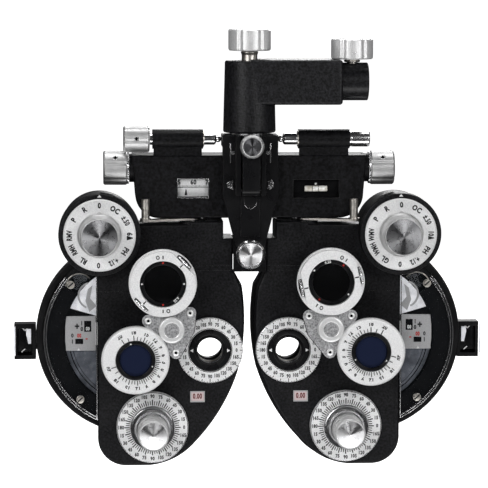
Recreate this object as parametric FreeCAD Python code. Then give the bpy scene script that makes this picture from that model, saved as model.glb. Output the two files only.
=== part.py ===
import FreeCAD, Part
import math
import os

# Manual phoropter (refractor head), in millimetres.
# Design frame: X to the right, Y away from the examiner, Z up, with its origin midway between the two
# sight apertures on the front plane of the housings. save() moves every piece to the final frame, whose
# origin is the mouth of the stand socket at the end of the mounting arm.

V = FreeCAD.Vector

# ---------------------------------------------------------------- driving dimensions
PUPIL_DISTANCE = 60.0                # between the sight apertures at rest
EYE = (PUPIL_DISTANCE / 2, 0.0)      # every (x, z) pair below is on the right-hand half
WHEEL = (86.0, 10.4)                 # axle of the two lens wheels
DIAL = (113.8, 89.8)                 # auxiliary dial and strong-sphere knob
CYL = (74.0, -59.0)                  # cylinder axis knob and power knob
TURRET = (60.0, 19.3)                # post of the accessory turret
POWER_WINDOW = (39.5, -36.0)         # middle of the cylinder power window
LEVEL_PIVOT_Z = 116.0                # the crossbar rocks on this pin
SWIVEL_Y = 5.0                       # vertical spindle, arm and levelling screws lie in this plane
ARM_Z = 204.3                        # axis of the horizontal arm and its socket
ARM_END_X = 89.8                     # mouth of the stand socket
ORIGIN = V(ARM_END_X, SWIVEL_Y, ARM_Z)

WALL = 3.0
RUN = 0.05                           # radial running clearance of shafts
HOUSING_SPLIT_Y = 22.0
HOUSING_BACK_Y = 38.0
BACK_EDGE_R = 2.4
BACK_LIP = 2.0                       # the rear cover stands this much proud of the round inner edge
HALF_TOP_Z = 98.3
HALF_LOW_Z = -89.1
HALF_OUTER_X = 115.5
CLEAR_R = 9.75                       # clear radius of the sight apertures
LENS_CIRCLE_R = math.dist(WHEEL, EYE)
UNIT_CIRCLE_R = math.dist(TURRET, EYE)
WHEEL_R = 76.5
STRONG_DISC_R = 70.0
DIAL_RING_R = 31.0
DIAL_LOBE_R = 29.5
DIAL_R = 27.4
SCALE_RING_R = 25.0
CYL_DISC_R = 27.4
JCC_R = 25.6
PRISM_R = 25.8
CONVERGE_PIVOT = (44.6, 13.0)        # (x, y) of the hanger post, right-hand half
BAR_TOP_Z = 148.7
BAR_BOTTOM_Z = 101.0
BAR_DEPTH = 35.0
SCREW_Z = 138.5                      # pupil-distance lead screw
SCREW_Y = 12.0
LEVEL_SCREW_Z = 160.8
FOREHEAD_Z = 74.8
ROD_HOLDER_PIVOT = (-16.0, 124.0)    # (y, z)
ROD_SOCKET_Y = -19.5
ROD_SOCKET_R = 4.0

LENS_COUNT = 12
LEFT_TURRET_TURN = 10.5              # the left turret stands turned by this much, in degrees
JCC_FLIP_ANGLE = {"left": 45.0, "right": 12.0}


# ---------------------------------------------------------------- small shape helpers
def rod(center, r, y0, y1):
    """Cylinder along Y; center is (x, z)."""
    return Part.makeCylinder(r, y1 - y0, V(center[0], y0, center[1]), V(0, 1, 0))


def tube(center, r_out, r_in, y0, y1):
    return rod(center, r_out, y0, y1).cut(rod(center, r_in, y0 - 1, y1 + 1))


def post(x, y, r, z0, z1):
    """Cylinder along Z."""
    return Part.makeCylinder(r, z1 - z0, V(x, y, z0), V(0, 0, 1))


def bar(y, z, r, x0, x1):
    """Cylinder along X."""
    return Part.makeCylinder(r, x1 - x0, V(x0, y, z), V(1, 0, 0))


def block(x0, x1, y0, y1, z0, z1):
    return Part.makeBox(x1 - x0, y1 - y0, z1 - z0, V(x0, y0, z0))


def fuse(*shapes):
    result = shapes[0]
    for shape in shapes[1:]:
        result = result.fuse(shape)
    return result.removeSplitter()


def turned(center, profile):
    """Solid of revolution about the Y line through center; profile is a list of (r, y)."""
    points = [V(center[0] + r, y, center[1]) for r, y in profile]
    face = Part.Face(Part.makePolygon(points + points[:1]))
    return face.revolve(V(center[0], 0, center[1]), V(0, 1, 0), 360)


def eased(shape, radius, chosen):
    """The shape with the edges that pass the test rounded."""
    return shape.makeFillet(radius, [edge for edge in shape.Edges if chosen(edge)])


def lies_at_y(y):
    """Test for edges that lie wholly in the plane at that y."""
    def test(edge):
        return edge.BoundBox.YMax - edge.BoundBox.YMin < 1e-4 and abs(edge.BoundBox.YMin - y) < 1e-4
    return test


def plate(points, y0, y1):
    """Prism along Y over an (x, z) polygon."""
    corners = [V(x, y0, z) for x, z in points]
    return Part.Face(Part.makePolygon(corners + corners[:1])).extrude(V(0, y1 - y0, 0))


def rounded_plate(corners, radius, y0, y1):
    """Plate whose outline is the hull of equal discs at the corners, given anticlockwise."""
    shape = plate(corners, y0, y1)
    count = len(corners)
    for i, (x, z) in enumerate(corners):
        nx, nz = corners[(i + 1) % count]
        length = math.dist((x, z), (nx, nz))
        dx, dz = (nz - z) / length * radius, -(nx - x) / length * radius
        edge = plate([(x, z), (nx, nz), (nx + dx, nz + dz), (x + dx, z + dz)], y0, y1)
        shape = shape.fuse(edge).fuse(rod((x, z), radius, y0, y1))
    return shape.removeSplitter()


def polar(center, radius, degrees):
    """Point at an angle counted anticlockwise from +X, as the examiner sees it."""
    angle = math.radians(degrees)
    return (center[0] + radius * math.cos(angle), center[1] + radius * math.sin(angle))


KNOB_LOBES = 6
KNOB_CHAMFER = 1.1
FLUTE_CENTRE = 1.1                   # of the grip's radius
FLUTE_RADIUS = 0.16                  # of the grip's radius
CLAMP_KNOB = (16.0, 15.5, 221.2)     # radius, height, z of its underside
LOCK_KNOB = (16.2, 16.3, 227.6)
LEVEL_KNOB = (10.0, 19.9, 75.7)      # radius, length, distance of its inner face from the middle
PD_KNOB = (13.0, 18.4, 92.4)
PD_FLANGE = (12.2, 91.3)             # radius, distance of its inner face from the middle


def lobed_knob(r, height):
    """Round grip along +Z with shallow flutes between its lobes and chamfered ends."""
    shape = Part.makeCylinder(r, height)
    rims = [edge for edge in shape.Edges if edge.BoundBox.ZLength < 1e-4]
    shape = shape.makeChamfer(KNOB_CHAMFER, rims)
    for i in range(KNOB_LOBES):
        x, z = polar((0, 0), r * FLUTE_CENTRE, 360 / KNOB_LOBES * (i + 0.5))
        shape = shape.cut(Part.makeCylinder(r * FLUTE_RADIUS, height + 2, V(x, z, -1)))
    return shape


def aimed(shape, position, direction):
    """Turn a +Z shape to a direction and put its base at a position."""
    turned_shape = shape.copy()
    turned_shape.Placement = FreeCAD.Placement(position, FreeCAD.Rotation(V(0, 0, 1), direction))
    return turned_shape


def on_side(side, shape):
    """A right-hand shape as it is on the given side."""
    if side == "left":
        return shape.mirror(V(0, 0, 0), V(1, 0, 0))
    return shape


def side_point(side, point):
    return (-point[0], point[1]) if side == "left" else point


def save(name, *solids):
    shape = solids[0] if len(solids) == 1 else Part.makeCompound(list(solids))
    shape = shape.copy()
    shape.translate(-ORIGIN)
    shape.exportStep("parts/" + name + ".step")
    valid = all(s.isValid() for s in shape.Solids)
    print(f"{name:30s} solids {len(shape.Solids)} valid {valid} volume {shape.Volume / 1000:.1f} cm3")


# ---------------------------------------------------------------- mounting arm
BEAM_HALF_HEIGHT = 16.9
BEAM_HALF_DEPTH = 18.7
BEAM_EDGE_R = 2.5
ARM_POST_R = 20.0
ARM_POST_BOTTOM_Z = 165.9
ARM_POST_TOP_Z = 220.2
ARM_POST_TAPER = 1.3
EDGE_R = 1.6                         # rounding of the castings' outer edges
COLLAR_R = 14.35
COLLAR_LENGTH = 20.3
SOCKET_R = 10.0
SOCKET_DEPTH = 50.0
SPINDLE_R = 8.0
SPINDLE_TOP_Z = 208.0
LOCK_STEM_R = 6.0
CLAMP_X = 77.8
CLAMP_STEM_R = 4.0


def mount_arm():
    cone_height = ARM_POST_TOP_Z - ARM_POST_BOTTOM_Z
    upright = Part.makeCone(ARM_POST_R, ARM_POST_R - ARM_POST_TAPER, cone_height,
                            V(0, SWIVEL_Y, ARM_POST_BOTTOM_Z))
    upright = eased(upright, EDGE_R, lambda edge: edge.BoundBox.ZMax - edge.BoundBox.ZMin < 1e-4)
    beam = block(0, ARM_END_X - COLLAR_LENGTH, SWIVEL_Y - BEAM_HALF_DEPTH, SWIVEL_Y + BEAM_HALF_DEPTH,
                 ARM_Z - BEAM_HALF_HEIGHT, ARM_Z + BEAM_HALF_HEIGHT)
    beam = eased(beam, BEAM_EDGE_R, lambda edge: edge.BoundBox.XMax > 1)
    collar = bar(SWIVEL_Y, ARM_Z, COLLAR_R, ARM_END_X - COLLAR_LENGTH - EDGE_R - 1, ARM_END_X)
    collar = eased(collar, EDGE_R / 2, lambda edge: abs(edge.BoundBox.XMin - ARM_END_X) < 1e-4)
    shape = fuse(upright, beam, collar)
    socket = bar(SWIVEL_Y, ARM_Z, SOCKET_R, ARM_END_X - SOCKET_DEPTH, ARM_END_X + 1)
    clamp_hole = post(CLAMP_X, SWIVEL_Y, CLAMP_STEM_R + RUN, ARM_Z, ARM_Z + 20)
    spindle_hole = post(0, SWIVEL_Y, SPINDLE_R + RUN, ARM_POST_BOTTOM_Z - 1, SPINDLE_TOP_Z + 0.5)
    stem_hole = post(0, SWIVEL_Y, LOCK_STEM_R + RUN, SPINDLE_TOP_Z, ARM_POST_TOP_Z + 1)
    return shape.cut(socket).cut(clamp_hole).cut(spindle_hole).cut(stem_hole)


def arm_clamp_knob():
    stem = post(CLAMP_X, SWIVEL_Y, CLAMP_STEM_R, ARM_Z + SOCKET_R + 0.6, 224)
    neck = post(CLAMP_X, SWIVEL_Y, 5.75, ARM_Z + COLLAR_R + 0.3, 222.5)
    radius, height, z = CLAMP_KNOB
    grip = aimed(lobed_knob(radius, height), V(CLAMP_X, SWIVEL_Y, z), V(0, 0, 1))
    return fuse(stem, neck, grip)


def swivel_lock_knob():
    radius, height, z = LOCK_KNOB
    stem = post(0, SWIVEL_Y, LOCK_STEM_R, SPINDLE_TOP_Z + 0.6, z + 2)
    grip = aimed(lobed_knob(radius, height), V(0, SWIVEL_Y, z), V(0, 0, 1))
    return fuse(stem, grip)


# ---------------------------------------------------------------- yoke that carries the crossbar
YOKE_FRONT_Y = -10.0
YOKE_BACK_Y = -4.8
YOKE_TOP_Z = 164.5
YOKE_HALF_WIDTH = 21.0
YOKE_BLOCK_BACK_Y = 15.0
PIVOT_PIN_R = 4.6
BAR_WALL = 3.2
RAIL_X = (7.8, 11.2)
HOLDER_AXLE_R = 1.5


def swivel_spindle():
    shaft = post(0, SWIVEL_Y, SPINDLE_R, YOKE_TOP_Z - 9, SPINDLE_TOP_Z)
    washer = post(0, SWIVEL_Y, 15, YOKE_TOP_Z, ARM_POST_BOTTOM_Z - 0.3)
    return fuse(shaft, washer)


def yoke_plate():
    half = YOKE_HALF_WIDTH
    outline = [(-11, 80), (11, 80), (half, 119.5), (half, YOKE_TOP_Z), (-half, YOKE_TOP_Z), (-half, 119.5)]
    front = eased(plate(outline, YOKE_FRONT_Y, YOKE_BACK_Y), EDGE_R / 2, lies_at_y(YOKE_FRONT_Y))
    top = block(-half, half, YOKE_FRONT_Y, YOKE_BLOCK_BACK_Y, YOKE_TOP_Z - 9, YOKE_TOP_Z)
    slab = block(-7.2, 7.2, YOKE_FRONT_Y - 1.3, YOKE_FRONT_Y, 88, 119)
    pin_head = rod((0, LEVEL_PIVOT_Z), 4.9, YOKE_FRONT_Y - 1.9, YOKE_FRONT_Y)
    pin = rod((0, LEVEL_PIVOT_Z), PIVOT_PIN_R, YOKE_BACK_Y - 1, BAR_WALL)
    shape = fuse(front, top, slab, pin_head, pin)
    for sign in (-1, 1):
        x0, x1 = sorted((sign * RAIL_X[0], sign * RAIL_X[1]))
        rail = block(x0, x1, YOKE_FRONT_Y - 9, YOKE_FRONT_Y, 119.8, YOKE_TOP_Z)
        shape = shape.fuse(rail)
    shape = shape.removeSplitter()
    y, z = ROD_HOLDER_PIVOT
    shape = shape.cut(bar(y, z, HOLDER_AXLE_R + RUN, -half, half))
    return shape.cut(post(0, SWIVEL_Y, SPINDLE_R, YOKE_TOP_Z - 10, YOKE_TOP_Z + 1))


def rod_holder_block():
    y, z = ROD_HOLDER_PIVOT
    knuckle = bar(y, z, 4.9, -6.6, 6.6)
    body = block(-6.6, 6.6, -25.5, -11.1, z, 164.6)
    axle = bar(y, z, HOLDER_AXLE_R, -10.6, 10.6)
    shape = fuse(knuckle, body, axle)
    shape = shape.cut(post(0, ROD_SOCKET_Y, ROD_SOCKET_R, 134.6, 165))
    return shape.cut(rod((0, 157.4), 2.0 + RUN, -27, ROD_SOCKET_Y))


def rod_thumbscrew():
    head = turned((0, 157.4), [(0, -35), (7.4, -35), (9.1, -33.6), (9.1, -28.6), (8.2, -27.6), (0, -27.6)])
    for i in range(36):
        groove = rod(polar((0, 157.4), 9.35, 10 * i), 0.45, -33.6, -28.6)
        head = head.cut(groove)
    return fuse(head, rod((0, 157.4), 2.0, -28, ROD_SOCKET_Y - ROD_SOCKET_R - 0.5))


# ---------------------------------------------------------------- crossbar and what it carries
SLEEVE_R = 7.4
BUSHING_R = 10.9                     # black collars that carry the ends of the lead screw
BUSHING_START_X = 86.0
BUSHING_END_X = 91.1
LEAD_SCREW_R = 3.0
PLUNGER_HEAD_R = 6.0
LEVEL_SHAFT_R = 4.4
STRIP_Y = (3.8, 4.6)
PD_WINDOW = (-42.9, 123.8, 23.0, 13.9)
VIAL_WINDOW = (50.6, 123.1, 34.6, 13.6)
CARRIAGE_FRONT_Y = 6.8
POST_R = 5.0
APRON_HALF_WIDTH = 12.4
APRON_Y = (-4.2, -0.7)
FOREHEAD_ROD_R = 3.0


def bar_outline(inset):
    """Crossbar outline with rounded lower corners, as a face on y = 0."""
    top = BAR_TOP_Z - inset
    low = BAR_BOTTOM_Z + inset
    wide = 89.0 - inset
    foot = 70.0 - inset
    def p(x, z):
        return V(x, 0, z)
    edges = [
        Part.LineSegment(p(-wide, top), p(wide, top)),
        Part.LineSegment(p(wide, top), p(wide - 2.5, low + 16)),
        Part.Arc(p(wide - 2.5, low + 16), p(wide - 7, low + 6), p(foot, low)),
        Part.LineSegment(p(foot, low), p(-foot, low)),
        Part.Arc(p(-foot, low), p(7 - wide, low + 6), p(2.5 - wide, low + 16)),
        Part.LineSegment(p(2.5 - wide, low + 16), p(-wide, top)),
    ]
    return Part.Face(Part.Wire([e.toShape() for e in edges]))


def window(spec, y0, y1):
    x, z, width, height = spec
    return block(x - width / 2, x + width / 2, y0, y1, z - height / 2, z + height / 2)


def crossbar_housing():
    body = bar_outline(0).extrude(V(0, BAR_DEPTH, 0))
    body = eased(body, EDGE_R, lies_at_y(0))
    body = eased(body, EDGE_R, lies_at_y(BAR_DEPTH))
    hollow = bar_outline(WALL).extrude(V(0, BAR_DEPTH - 2 * BAR_WALL, 0))
    hollow.translate(V(0, BAR_WALL, 0))
    body = body.cut(hollow)
    x, z, width, height = VIAL_WINDOW
    pad = block(x - width / 2 - 0.1, x + width / 2 + 0.1, 0, 6.2, z - height / 2 - 2, z + height / 2 + 2)
    apron_top = block(-APRON_HALF_WIDTH, APRON_HALF_WIDTH, APRON_Y[0], 1, 99, 126)
    apron = block(-APRON_HALF_WIDTH, APRON_HALF_WIDTH, *APRON_Y, 60.5, 100)
    front_guide = rod((0, FOREHEAD_Z), 4.6, APRON_Y[0] - 4.3, 24)
    rear_guide = rod((0, FOREHEAD_Z), 5.5, APRON_Y[1], 24)
    body = fuse(body, pad, apron_top, apron, front_guide, rear_guide)
    sleeves = [
        bar(SWIVEL_Y, LEVEL_SCREW_Z, SLEEVE_R, -73.6, -35.2),
        bar(SWIVEL_Y, LEVEL_SCREW_Z, SLEEVE_R, 37.1, 76.1),
        block(-72.6, -36.2, SWIVEL_Y - 4, SWIVEL_Y + 4, BAR_TOP_Z - 1, LEVEL_SCREW_Z),
        block(38.1, 75.1, SWIVEL_Y - 4, SWIVEL_Y + 4, BAR_TOP_Z - 1, LEVEL_SCREW_Z),
    ]
    bushings = [
        bar(SCREW_Y, SCREW_Z, BUSHING_R, BUSHING_START_X, BUSHING_END_X),
        bar(SCREW_Y, SCREW_Z, BUSHING_R, -BUSHING_END_X, -BUSHING_START_X),
    ]
    body = fuse(body, *sleeves, *bushings)
    body = body.cut(bar(SWIVEL_Y, LEVEL_SCREW_Z, LEVEL_SHAFT_R + RUN, -75, -30))
    body = body.cut(bar(SWIVEL_Y, LEVEL_SCREW_Z, LEVEL_SHAFT_R + RUN, 30, 78))
    body = body.cut(bar(SWIVEL_Y, LEVEL_SCREW_Z, PLUNGER_HEAD_R + RUN, 68, 78))
    body = body.cut(window(PD_WINDOW, -1, BAR_WALL + 0.2))
    body = body.cut(window(VIAL_WINDOW, -1, 4.8))
    body = body.cut(bar(SCREW_Y, SCREW_Z, LEAD_SCREW_R + RUN, -95, 95))
    body = body.cut(rod((0, LEVEL_PIVOT_Z), PIVOT_PIN_R + RUN, -6, BAR_WALL + 1))
    body = body.cut(rod((0, FOREHEAD_Z), FOREHEAD_ROD_R + RUN, -10, 30))
    for sign in (-1, 1):
        x0, x1 = sorted((sign * 23.0, sign * 76.0))
        body = body.cut(block(x0, x1, CARRIAGE_FRONT_Y, 31.5, BAR_BOTTOM_Z - 1, BAR_BOTTOM_Z + WALL + 1))
    return body


def level_vial():
    x, z, _, _ = VIAL_WINDOW
    return bar(2.4, z, 2.2, x - 8.65, x + 8.65)


def leveling_screw():
    shaft = bar(SWIVEL_Y, LEVEL_SCREW_Z, LEVEL_SHAFT_R, -75.4, -25.2)
    tip = Part.makeSphere(2.5, V(-23.8, SWIVEL_Y, LEVEL_SCREW_Z))
    return fuse(shaft, bar(SWIVEL_Y, LEVEL_SCREW_Z, 2.2, -26, -23.8), tip)


def leveling_knob():
    radius, length, x = LEVEL_KNOB
    return aimed(lobed_knob(radius, length), V(-x, SWIVEL_Y, LEVEL_SCREW_Z), V(-1, 0, 0))


def level_plunger():
    shaft = fuse(
        bar(SWIVEL_Y, LEVEL_SCREW_Z, LEVEL_SHAFT_R, 25.2, 72),
        bar(SWIVEL_Y, LEVEL_SCREW_Z, PLUNGER_HEAD_R, 70.5, 91.5),
    )
    tip = Part.makeSphere(2.5, V(23.8, SWIVEL_Y, LEVEL_SCREW_Z))
    return fuse(shaft, bar(SWIVEL_Y, LEVEL_SCREW_Z, 2.2, 23.8, 26), tip)


def pd_lead_screw():
    return bar(SCREW_Y, SCREW_Z, LEAD_SCREW_R, -91.2, 91.2)


def pd_knobs():
    radius, length, x = PD_KNOB
    flange_r, flange_x = PD_FLANGE
    grip = aimed(lobed_knob(radius, length), V(x, SCREW_Y, SCREW_Z), V(1, 0, 0))
    knob = fuse(grip, bar(SCREW_Y, SCREW_Z, flange_r, flange_x, x + 0.5))
    return on_side("left", knob), knob


def forehead_pad():
    slide = rod((0, FOREHEAD_Z), FOREHEAD_ROD_R, -8.5, 58)
    outer = post(0, 115, 62, FOREHEAD_Z - 8, FOREHEAD_Z + 8)
    inner = post(0, 118, 57, FOREHEAD_Z - 9, FOREHEAD_Z + 9)
    pad = outer.cut(inner).common(block(-32, 32, 50, 76, FOREHEAD_Z - 8, FOREHEAD_Z + 8))
    return fuse(slide, pad)


def forehead_knob():
    profile = [(0, -18), (9.6, -18), (11.3, -16.5), (11.3, -11), (10.4, -10.2), (FOREHEAD_ROD_R + 0.1, -10.2)]
    profile += [(FOREHEAD_ROD_R + 0.1, -16), (0, -16)]
    return turned((0, FOREHEAD_Z), profile)


# ---------------------------------------------------------------- one housing half (right-hand shapes)
def half_outline(inset, lip=0.0):
    """Outline of a housing half on y = 0: straight outer and top edges, a round inner and lower edge.
    A lip moves the round inner edge out by that much."""
    n = inset
    m = inset - lip
    top = HALF_TOP_Z - n
    step = HALF_TOP_Z - 2.3 - n
    outer = HALF_OUTER_X - n
    low = HALF_LOW_Z + n
    neck = 12.7 + n
    shoulder = 19.9 + n
    ledge = 85.5 - n

    def p(x, z):
        return V(x, 0, z)

    edges = [
        Part.LineSegment(p(shoulder, top), p(45.4 - n, top)),
        Part.LineSegment(p(45.4 - n, top), p(45.4 - n, step)),
        Part.LineSegment(p(45.4 - n, step), p(outer, step)),
        Part.LineSegment(p(outer, step), p(outer, -66)),
        Part.Arc(p(outer, -66), p(109.6 - 0.8 * n, -82.5 + 0.7 * n), p(94.8, low)),
        Part.LineSegment(p(94.8, low), p(76, low)),
        Part.Arc(p(76, low), p(57.3 + 0.4 * m, -83.8 + 0.9 * m), p(41.2 + 0.7 * m, -71.3 + 0.7 * m)),
        Part.Arc(p(41.2 + 0.7 * m, -71.3 + 0.7 * m), p(22.3 + 0.8 * m, -46.5 + 0.6 * m), p(8.8 + m, -17)),
        Part.Arc(p(8.8 + m, -17), p(4.6 + m, 15), p(6.6 + m, 47)),
        Part.LineSegment(p(6.6 + m, 47), p(neck, 61.4)),
        Part.LineSegment(p(neck, 61.4), p(neck, ledge)),
        Part.LineSegment(p(neck, ledge), p(shoulder, ledge)),
        Part.LineSegment(p(shoulder, ledge), p(shoulder, top)),
    ]
    return Part.Wire([e.toShape() for e in edges])


def half_solid(inset, y0, y1, lip=0.0):
    solid = Part.Face(half_outline(inset, lip)).extrude(V(0, y1 - y0, 0))
    solid.translate(V(0, y0, 0))
    return solid


def front_housing():
    body = eased(half_solid(0, 0, HOUSING_SPLIT_Y), EDGE_R, lies_at_y(0))
    dial_ring = eased(rod(DIAL, DIAL_RING_R, -15, 2), EDGE_R / 2, lies_at_y(-15))
    body = fuse(body, dial_ring, rod(DIAL, DIAL_LOBE_R, 1, HOUSING_SPLIT_Y))
    hollow = half_solid(WALL, WALL, HOUSING_SPLIT_Y)
    hollow = hollow.fuse(rod(DIAL, DIAL_LOBE_R - WALL, WALL, HOUSING_SPLIT_Y))
    body = body.cut(hollow)
    body = body.cut(rod(DIAL, DIAL_LOBE_R - WALL, -12, WALL))
    body = body.cut(rod(WHEEL, WHEEL_R + 0.9, 7.5, HOUSING_SPLIT_Y + 1))
    px, py = CONVERGE_PIVOT
    bosses = [
        post(px, py, 8.5, 83.1, HALF_TOP_Z),
        block(22, 33, 6, 18, HALF_TOP_Z - 1, 100.4),
        rod(TURRET, 9, -16.5, 1),
        rod(DIAL, 11, -14, 7),
        rod(CYL, 10, 1, 7),
        rod(WHEEL, 4, 1, HOUSING_BACK_Y - 4),
        rod(WHEEL, 11, 1, 8.5),
    ]
    body = fuse(body, *bosses)
    body = body.cut(post(px, py, POST_R + RUN, 80, 105))
    body = body.cut(rod(TURRET, 5 + RUN, -20, 6))
    body = body.cut(rod(DIAL, 7 + RUN, -20, 8))
    body = body.cut(rod(CYL, 6 + RUN, -1, 8))
    body = body.cut(rod(EYE, 12 + RUN, -1, 5))
    x, z = POWER_WINDOW
    body = body.cut(block(x - 5.6, x + 5.6, -1, WALL + 1, z - 4.2, z + 4.2))
    cover_slot = rod(WHEEL, 78, -20, HOUSING_SPLIT_Y).common(block(115.5, 170, 0, 22, -80, 58))
    return body.cut(cover_slot)


def back_cover():
    inner_back = HOUSING_BACK_Y - WALL
    lobe_r = WHEEL_R - 1.5
    body = fuse(
        half_solid(0, HOUSING_SPLIT_Y, HOUSING_BACK_Y, BACK_LIP),
        rod(WHEEL, lobe_r, HOUSING_SPLIT_Y, HOUSING_BACK_Y),
        rod(DIAL, DIAL_LOBE_R, HOUSING_SPLIT_Y, HOUSING_BACK_Y),
    )
    hollow = fuse(
        half_solid(WALL, HOUSING_SPLIT_Y - 1, inner_back),
        rod(WHEEL, lobe_r - WALL, HOUSING_SPLIT_Y - 1, inner_back),
        rod(DIAL, DIAL_LOBE_R - WALL, HOUSING_SPLIT_Y - 1, inner_back),
    )
    body = eased(body.cut(hollow), BACK_EDGE_R, lies_at_y(HOUSING_BACK_Y))
    body = body.cut(rod(EYE, 11, HOUSING_SPLIT_Y, HOUSING_BACK_Y + 1))
    for x, z in back_screw_points():
        body = fuse(body, rod((x, z), 4.5, HOUSING_SPLIT_Y, inner_back + 1))
        body = body.cut(rod((x, z), 1.5, HOUSING_SPLIT_Y - 1, HOUSING_BACK_Y + 1))
    return body


def back_screw_points():
    return [(26.0, 90.0), (106.0, -74.0), (45.0, -62.0)]


def cover_screw_points():
    return [polar(WHEEL, 64.0, 39), polar(WHEEL, 64.0, -48)]


def clear_cover():
    """Clear window over the crescent of the lens wheel that stands out of the housing."""
    front = rod(WHEEL, 70.5, -1, 1.2)
    skirt = tube(WHEEL, 70.5, 68.4, 0, 6)
    shape = front.fuse(skirt).common(block(115.6, 170, -2, 8, -60, 90)).removeSplitter()
    shape = shape.cut(rod(DIAL, DIAL_RING_R + 0.1, -20, 20))
    for point in cover_screw_points():
        shape = shape.cut(rod(point, 1.5, -3, 3))
    return shape


def scale_plates():
    """Fixed light scales: aperture protractor, cylinder-axis disc and sphere readout."""
    protractor = tube(EYE, SCALE_RING_R, 16.3, -3, 0)
    disc = turned(CYL, [(6.6, 0), (6.6, -4), (CYL_DISC_R - 0.6, -4), (CYL_DISC_R, -3.4), (CYL_DISC_R, 0)])
    readout = block(117, 139.6, 3.4, 5, -0.5, 25.9).common(rod(WHEEL, 55, 0, 10))
    bracket = block(HALF_OUTER_X, 118, 3.4, 4.8, 4, 21)
    return protractor, disc, fuse(readout, bracket)


def wheel_holes():
    start = math.degrees(math.atan2(EYE[1] - WHEEL[1], EYE[0] - WHEEL[0]))
    return [polar(WHEEL, LENS_CIRCLE_R, start + 360 / LENS_COUNT * i) for i in range(LENS_COUNT)]


def weak_sphere_wheel():
    web = rod(WHEEL, 73, 11, 14)
    rim = tube(WHEEL, WHEEL_R, 71.4, 9, 20)
    hub = rod(WHEEL, 10, 9.2, 20)
    shape = fuse(web, rim, hub).cut(rod(WHEEL, 4 + RUN, 0, 30))
    for point in wheel_holes():
        shape = shape.cut(rod(point, 9.9, 10, 15))
    return shape


def weak_lenses():
    """Eleven trial lenses; the twelfth cell, at the sight aperture, is open."""
    return [rod(point, 9.85, 11.4, 13.6) for point in wheel_holes()[1:]]


def strong_lens_disc():
    shape = fuse(rod(WHEEL, STRONG_DISC_R, 25, 28), rod(WHEEL, 10, 22.5, 31))
    shape = shape.cut(rod(WHEEL, 4 + RUN, 20, 35))
    for point in wheel_holes():
        shape = shape.cut(rod(point, 9.9, 24, 29))
    return shape


def aux_dial():
    disc = turned(DIAL, [(4.65, -18), (26.6, -18), (DIAL_R, -17.2), (DIAL_R, -15.4), (4.65, -15.4)])
    return fuse(disc, tube(DIAL, 7, 4.65, -16, 6.5))


def strong_sphere_knob():
    pinion_r = math.dist(DIAL, WHEEL) - STRONG_DISC_R - 0.35
    profile = [(0, -36), (13.7, -36), (14.5, -35.2), (14.5, -24), (15.2, -20.4), (16.4, -18.6), (0, -18.6)]
    cone = turned(DIAL, profile)
    shaft = rod(DIAL, 4.5 + RUN, -19, 29)
    return fuse(cone, shaft, rod(DIAL, pinion_r, 25, 28))


def cylinder_axis_knob():
    profile = [(4.6, -15.6), (11.6, -15.6), (12.6, -14.6), (12.6, -13), (13.5, -10.4), (15.4, -8.2)]
    profile += [(17, -7.5), (17, -4.6), (6, -4.6), (6, 6.5), (4.6, 6.5)]
    return turned(CYL, profile)


POWER_KNOB_GROOVES_Y = (-35.0, -26.0)


def cylinder_power_knob():
    profile = [(0, -41), (10.6, -41), (11.8, -39.8)]
    for y in POWER_KNOB_GROOVES_Y:
        profile += [(11.8, y - 0.5), (11.1, y - 0.5), (11.1, y + 0.5), (11.8, y + 0.5)]
    profile += [(11.8, -16), (4.55, -16), (4.55, 6.8), (0, 6.8)]
    return turned(CYL, profile)


def axis_pointer_ring():
    return turned(EYE, [(CLEAR_R, -3.8), (16, -3.8), (16, -0.2), (12, -0.2), (12, 4.5), (CLEAR_R, 4.5)])


def face_shield():
    """Rear cup round the sight aperture, with a rolled lip, that keeps the patient off the glass."""
    y = HOUSING_BACK_Y
    profile = [(11, y), (22, y), (22, y + 2), (18.5, y + 3), (19.5, y + 9), (17.5, y + 9)]
    profile += [(15, y + 2.4), (11, y + 2)]
    return turned(EYE, profile)


def corneal_aligner():
    """Side sighting box with a framed mirror, held by a foot on the rear cover."""
    frame = block(163, 179.5, 24, 37, -10, 17.5)
    frame = frame.cut(block(165.6, 177.2, 23, 34.5, -7, 14))
    foot = block(158, 163, 26, 36, -2.5, 11.5)
    return fuse(frame, foot).cut(rod(WHEEL, WHEEL_R - 1.5, 20, 40))


def housing_screws():
    screws = []
    for point in cover_screw_points():
        screws.append(fuse(rod(point, 3, -2.8, -1), rod(point, 1.4, -1.5, 1.2)))
    for point in back_screw_points():
        head = rod(point, 3, HOUSING_BACK_Y, HOUSING_BACK_Y + 1.8)
        screws.append(fuse(head, rod(point, 1.4, 30, HOUSING_BACK_Y + 0.5)))
    return screws


# ---------------------------------------------------------------- carriage, hanger post and lever
def carriage(side):
    px, py = CONVERGE_PIVOT
    body = block(px - 15, px + 15, CARRIAGE_FRONT_Y, 31, BAR_BOTTOM_Z + WALL + 0.5, BAR_TOP_Z - WALL - 0.5)
    hanger = post(px, py, POST_R, 82, BAR_BOTTOM_Z + WALL + 2)
    nut = post(px, py, 6.7, 81.2, 82.7)
    shape = fuse(body, hanger, nut)
    shape = shape.cut(bar(SCREW_Y, SCREW_Z, LEAD_SCREW_R + RUN, 20, 70))
    shape = on_side(side, shape)
    y0, y1 = STRIP_Y
    if side == "left":
        scale = block(-px - 14, -px + 14, y0, CARRIAGE_FRONT_Y + 1, 124.4, 130.4)
        return fuse(shape, scale)
    pointer = block(-60, 25, y0, y1, 117.2, 123.8)
    bridge = block(22, 25, y0, CARRIAGE_FRONT_Y + 6, 117.2, 123.8)
    link = block(22, px - 10, CARRIAGE_FRONT_Y, CARRIAGE_FRONT_Y + 6, 117.2, 123.8)
    return fuse(shape, pointer, bridge, link)


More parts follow.
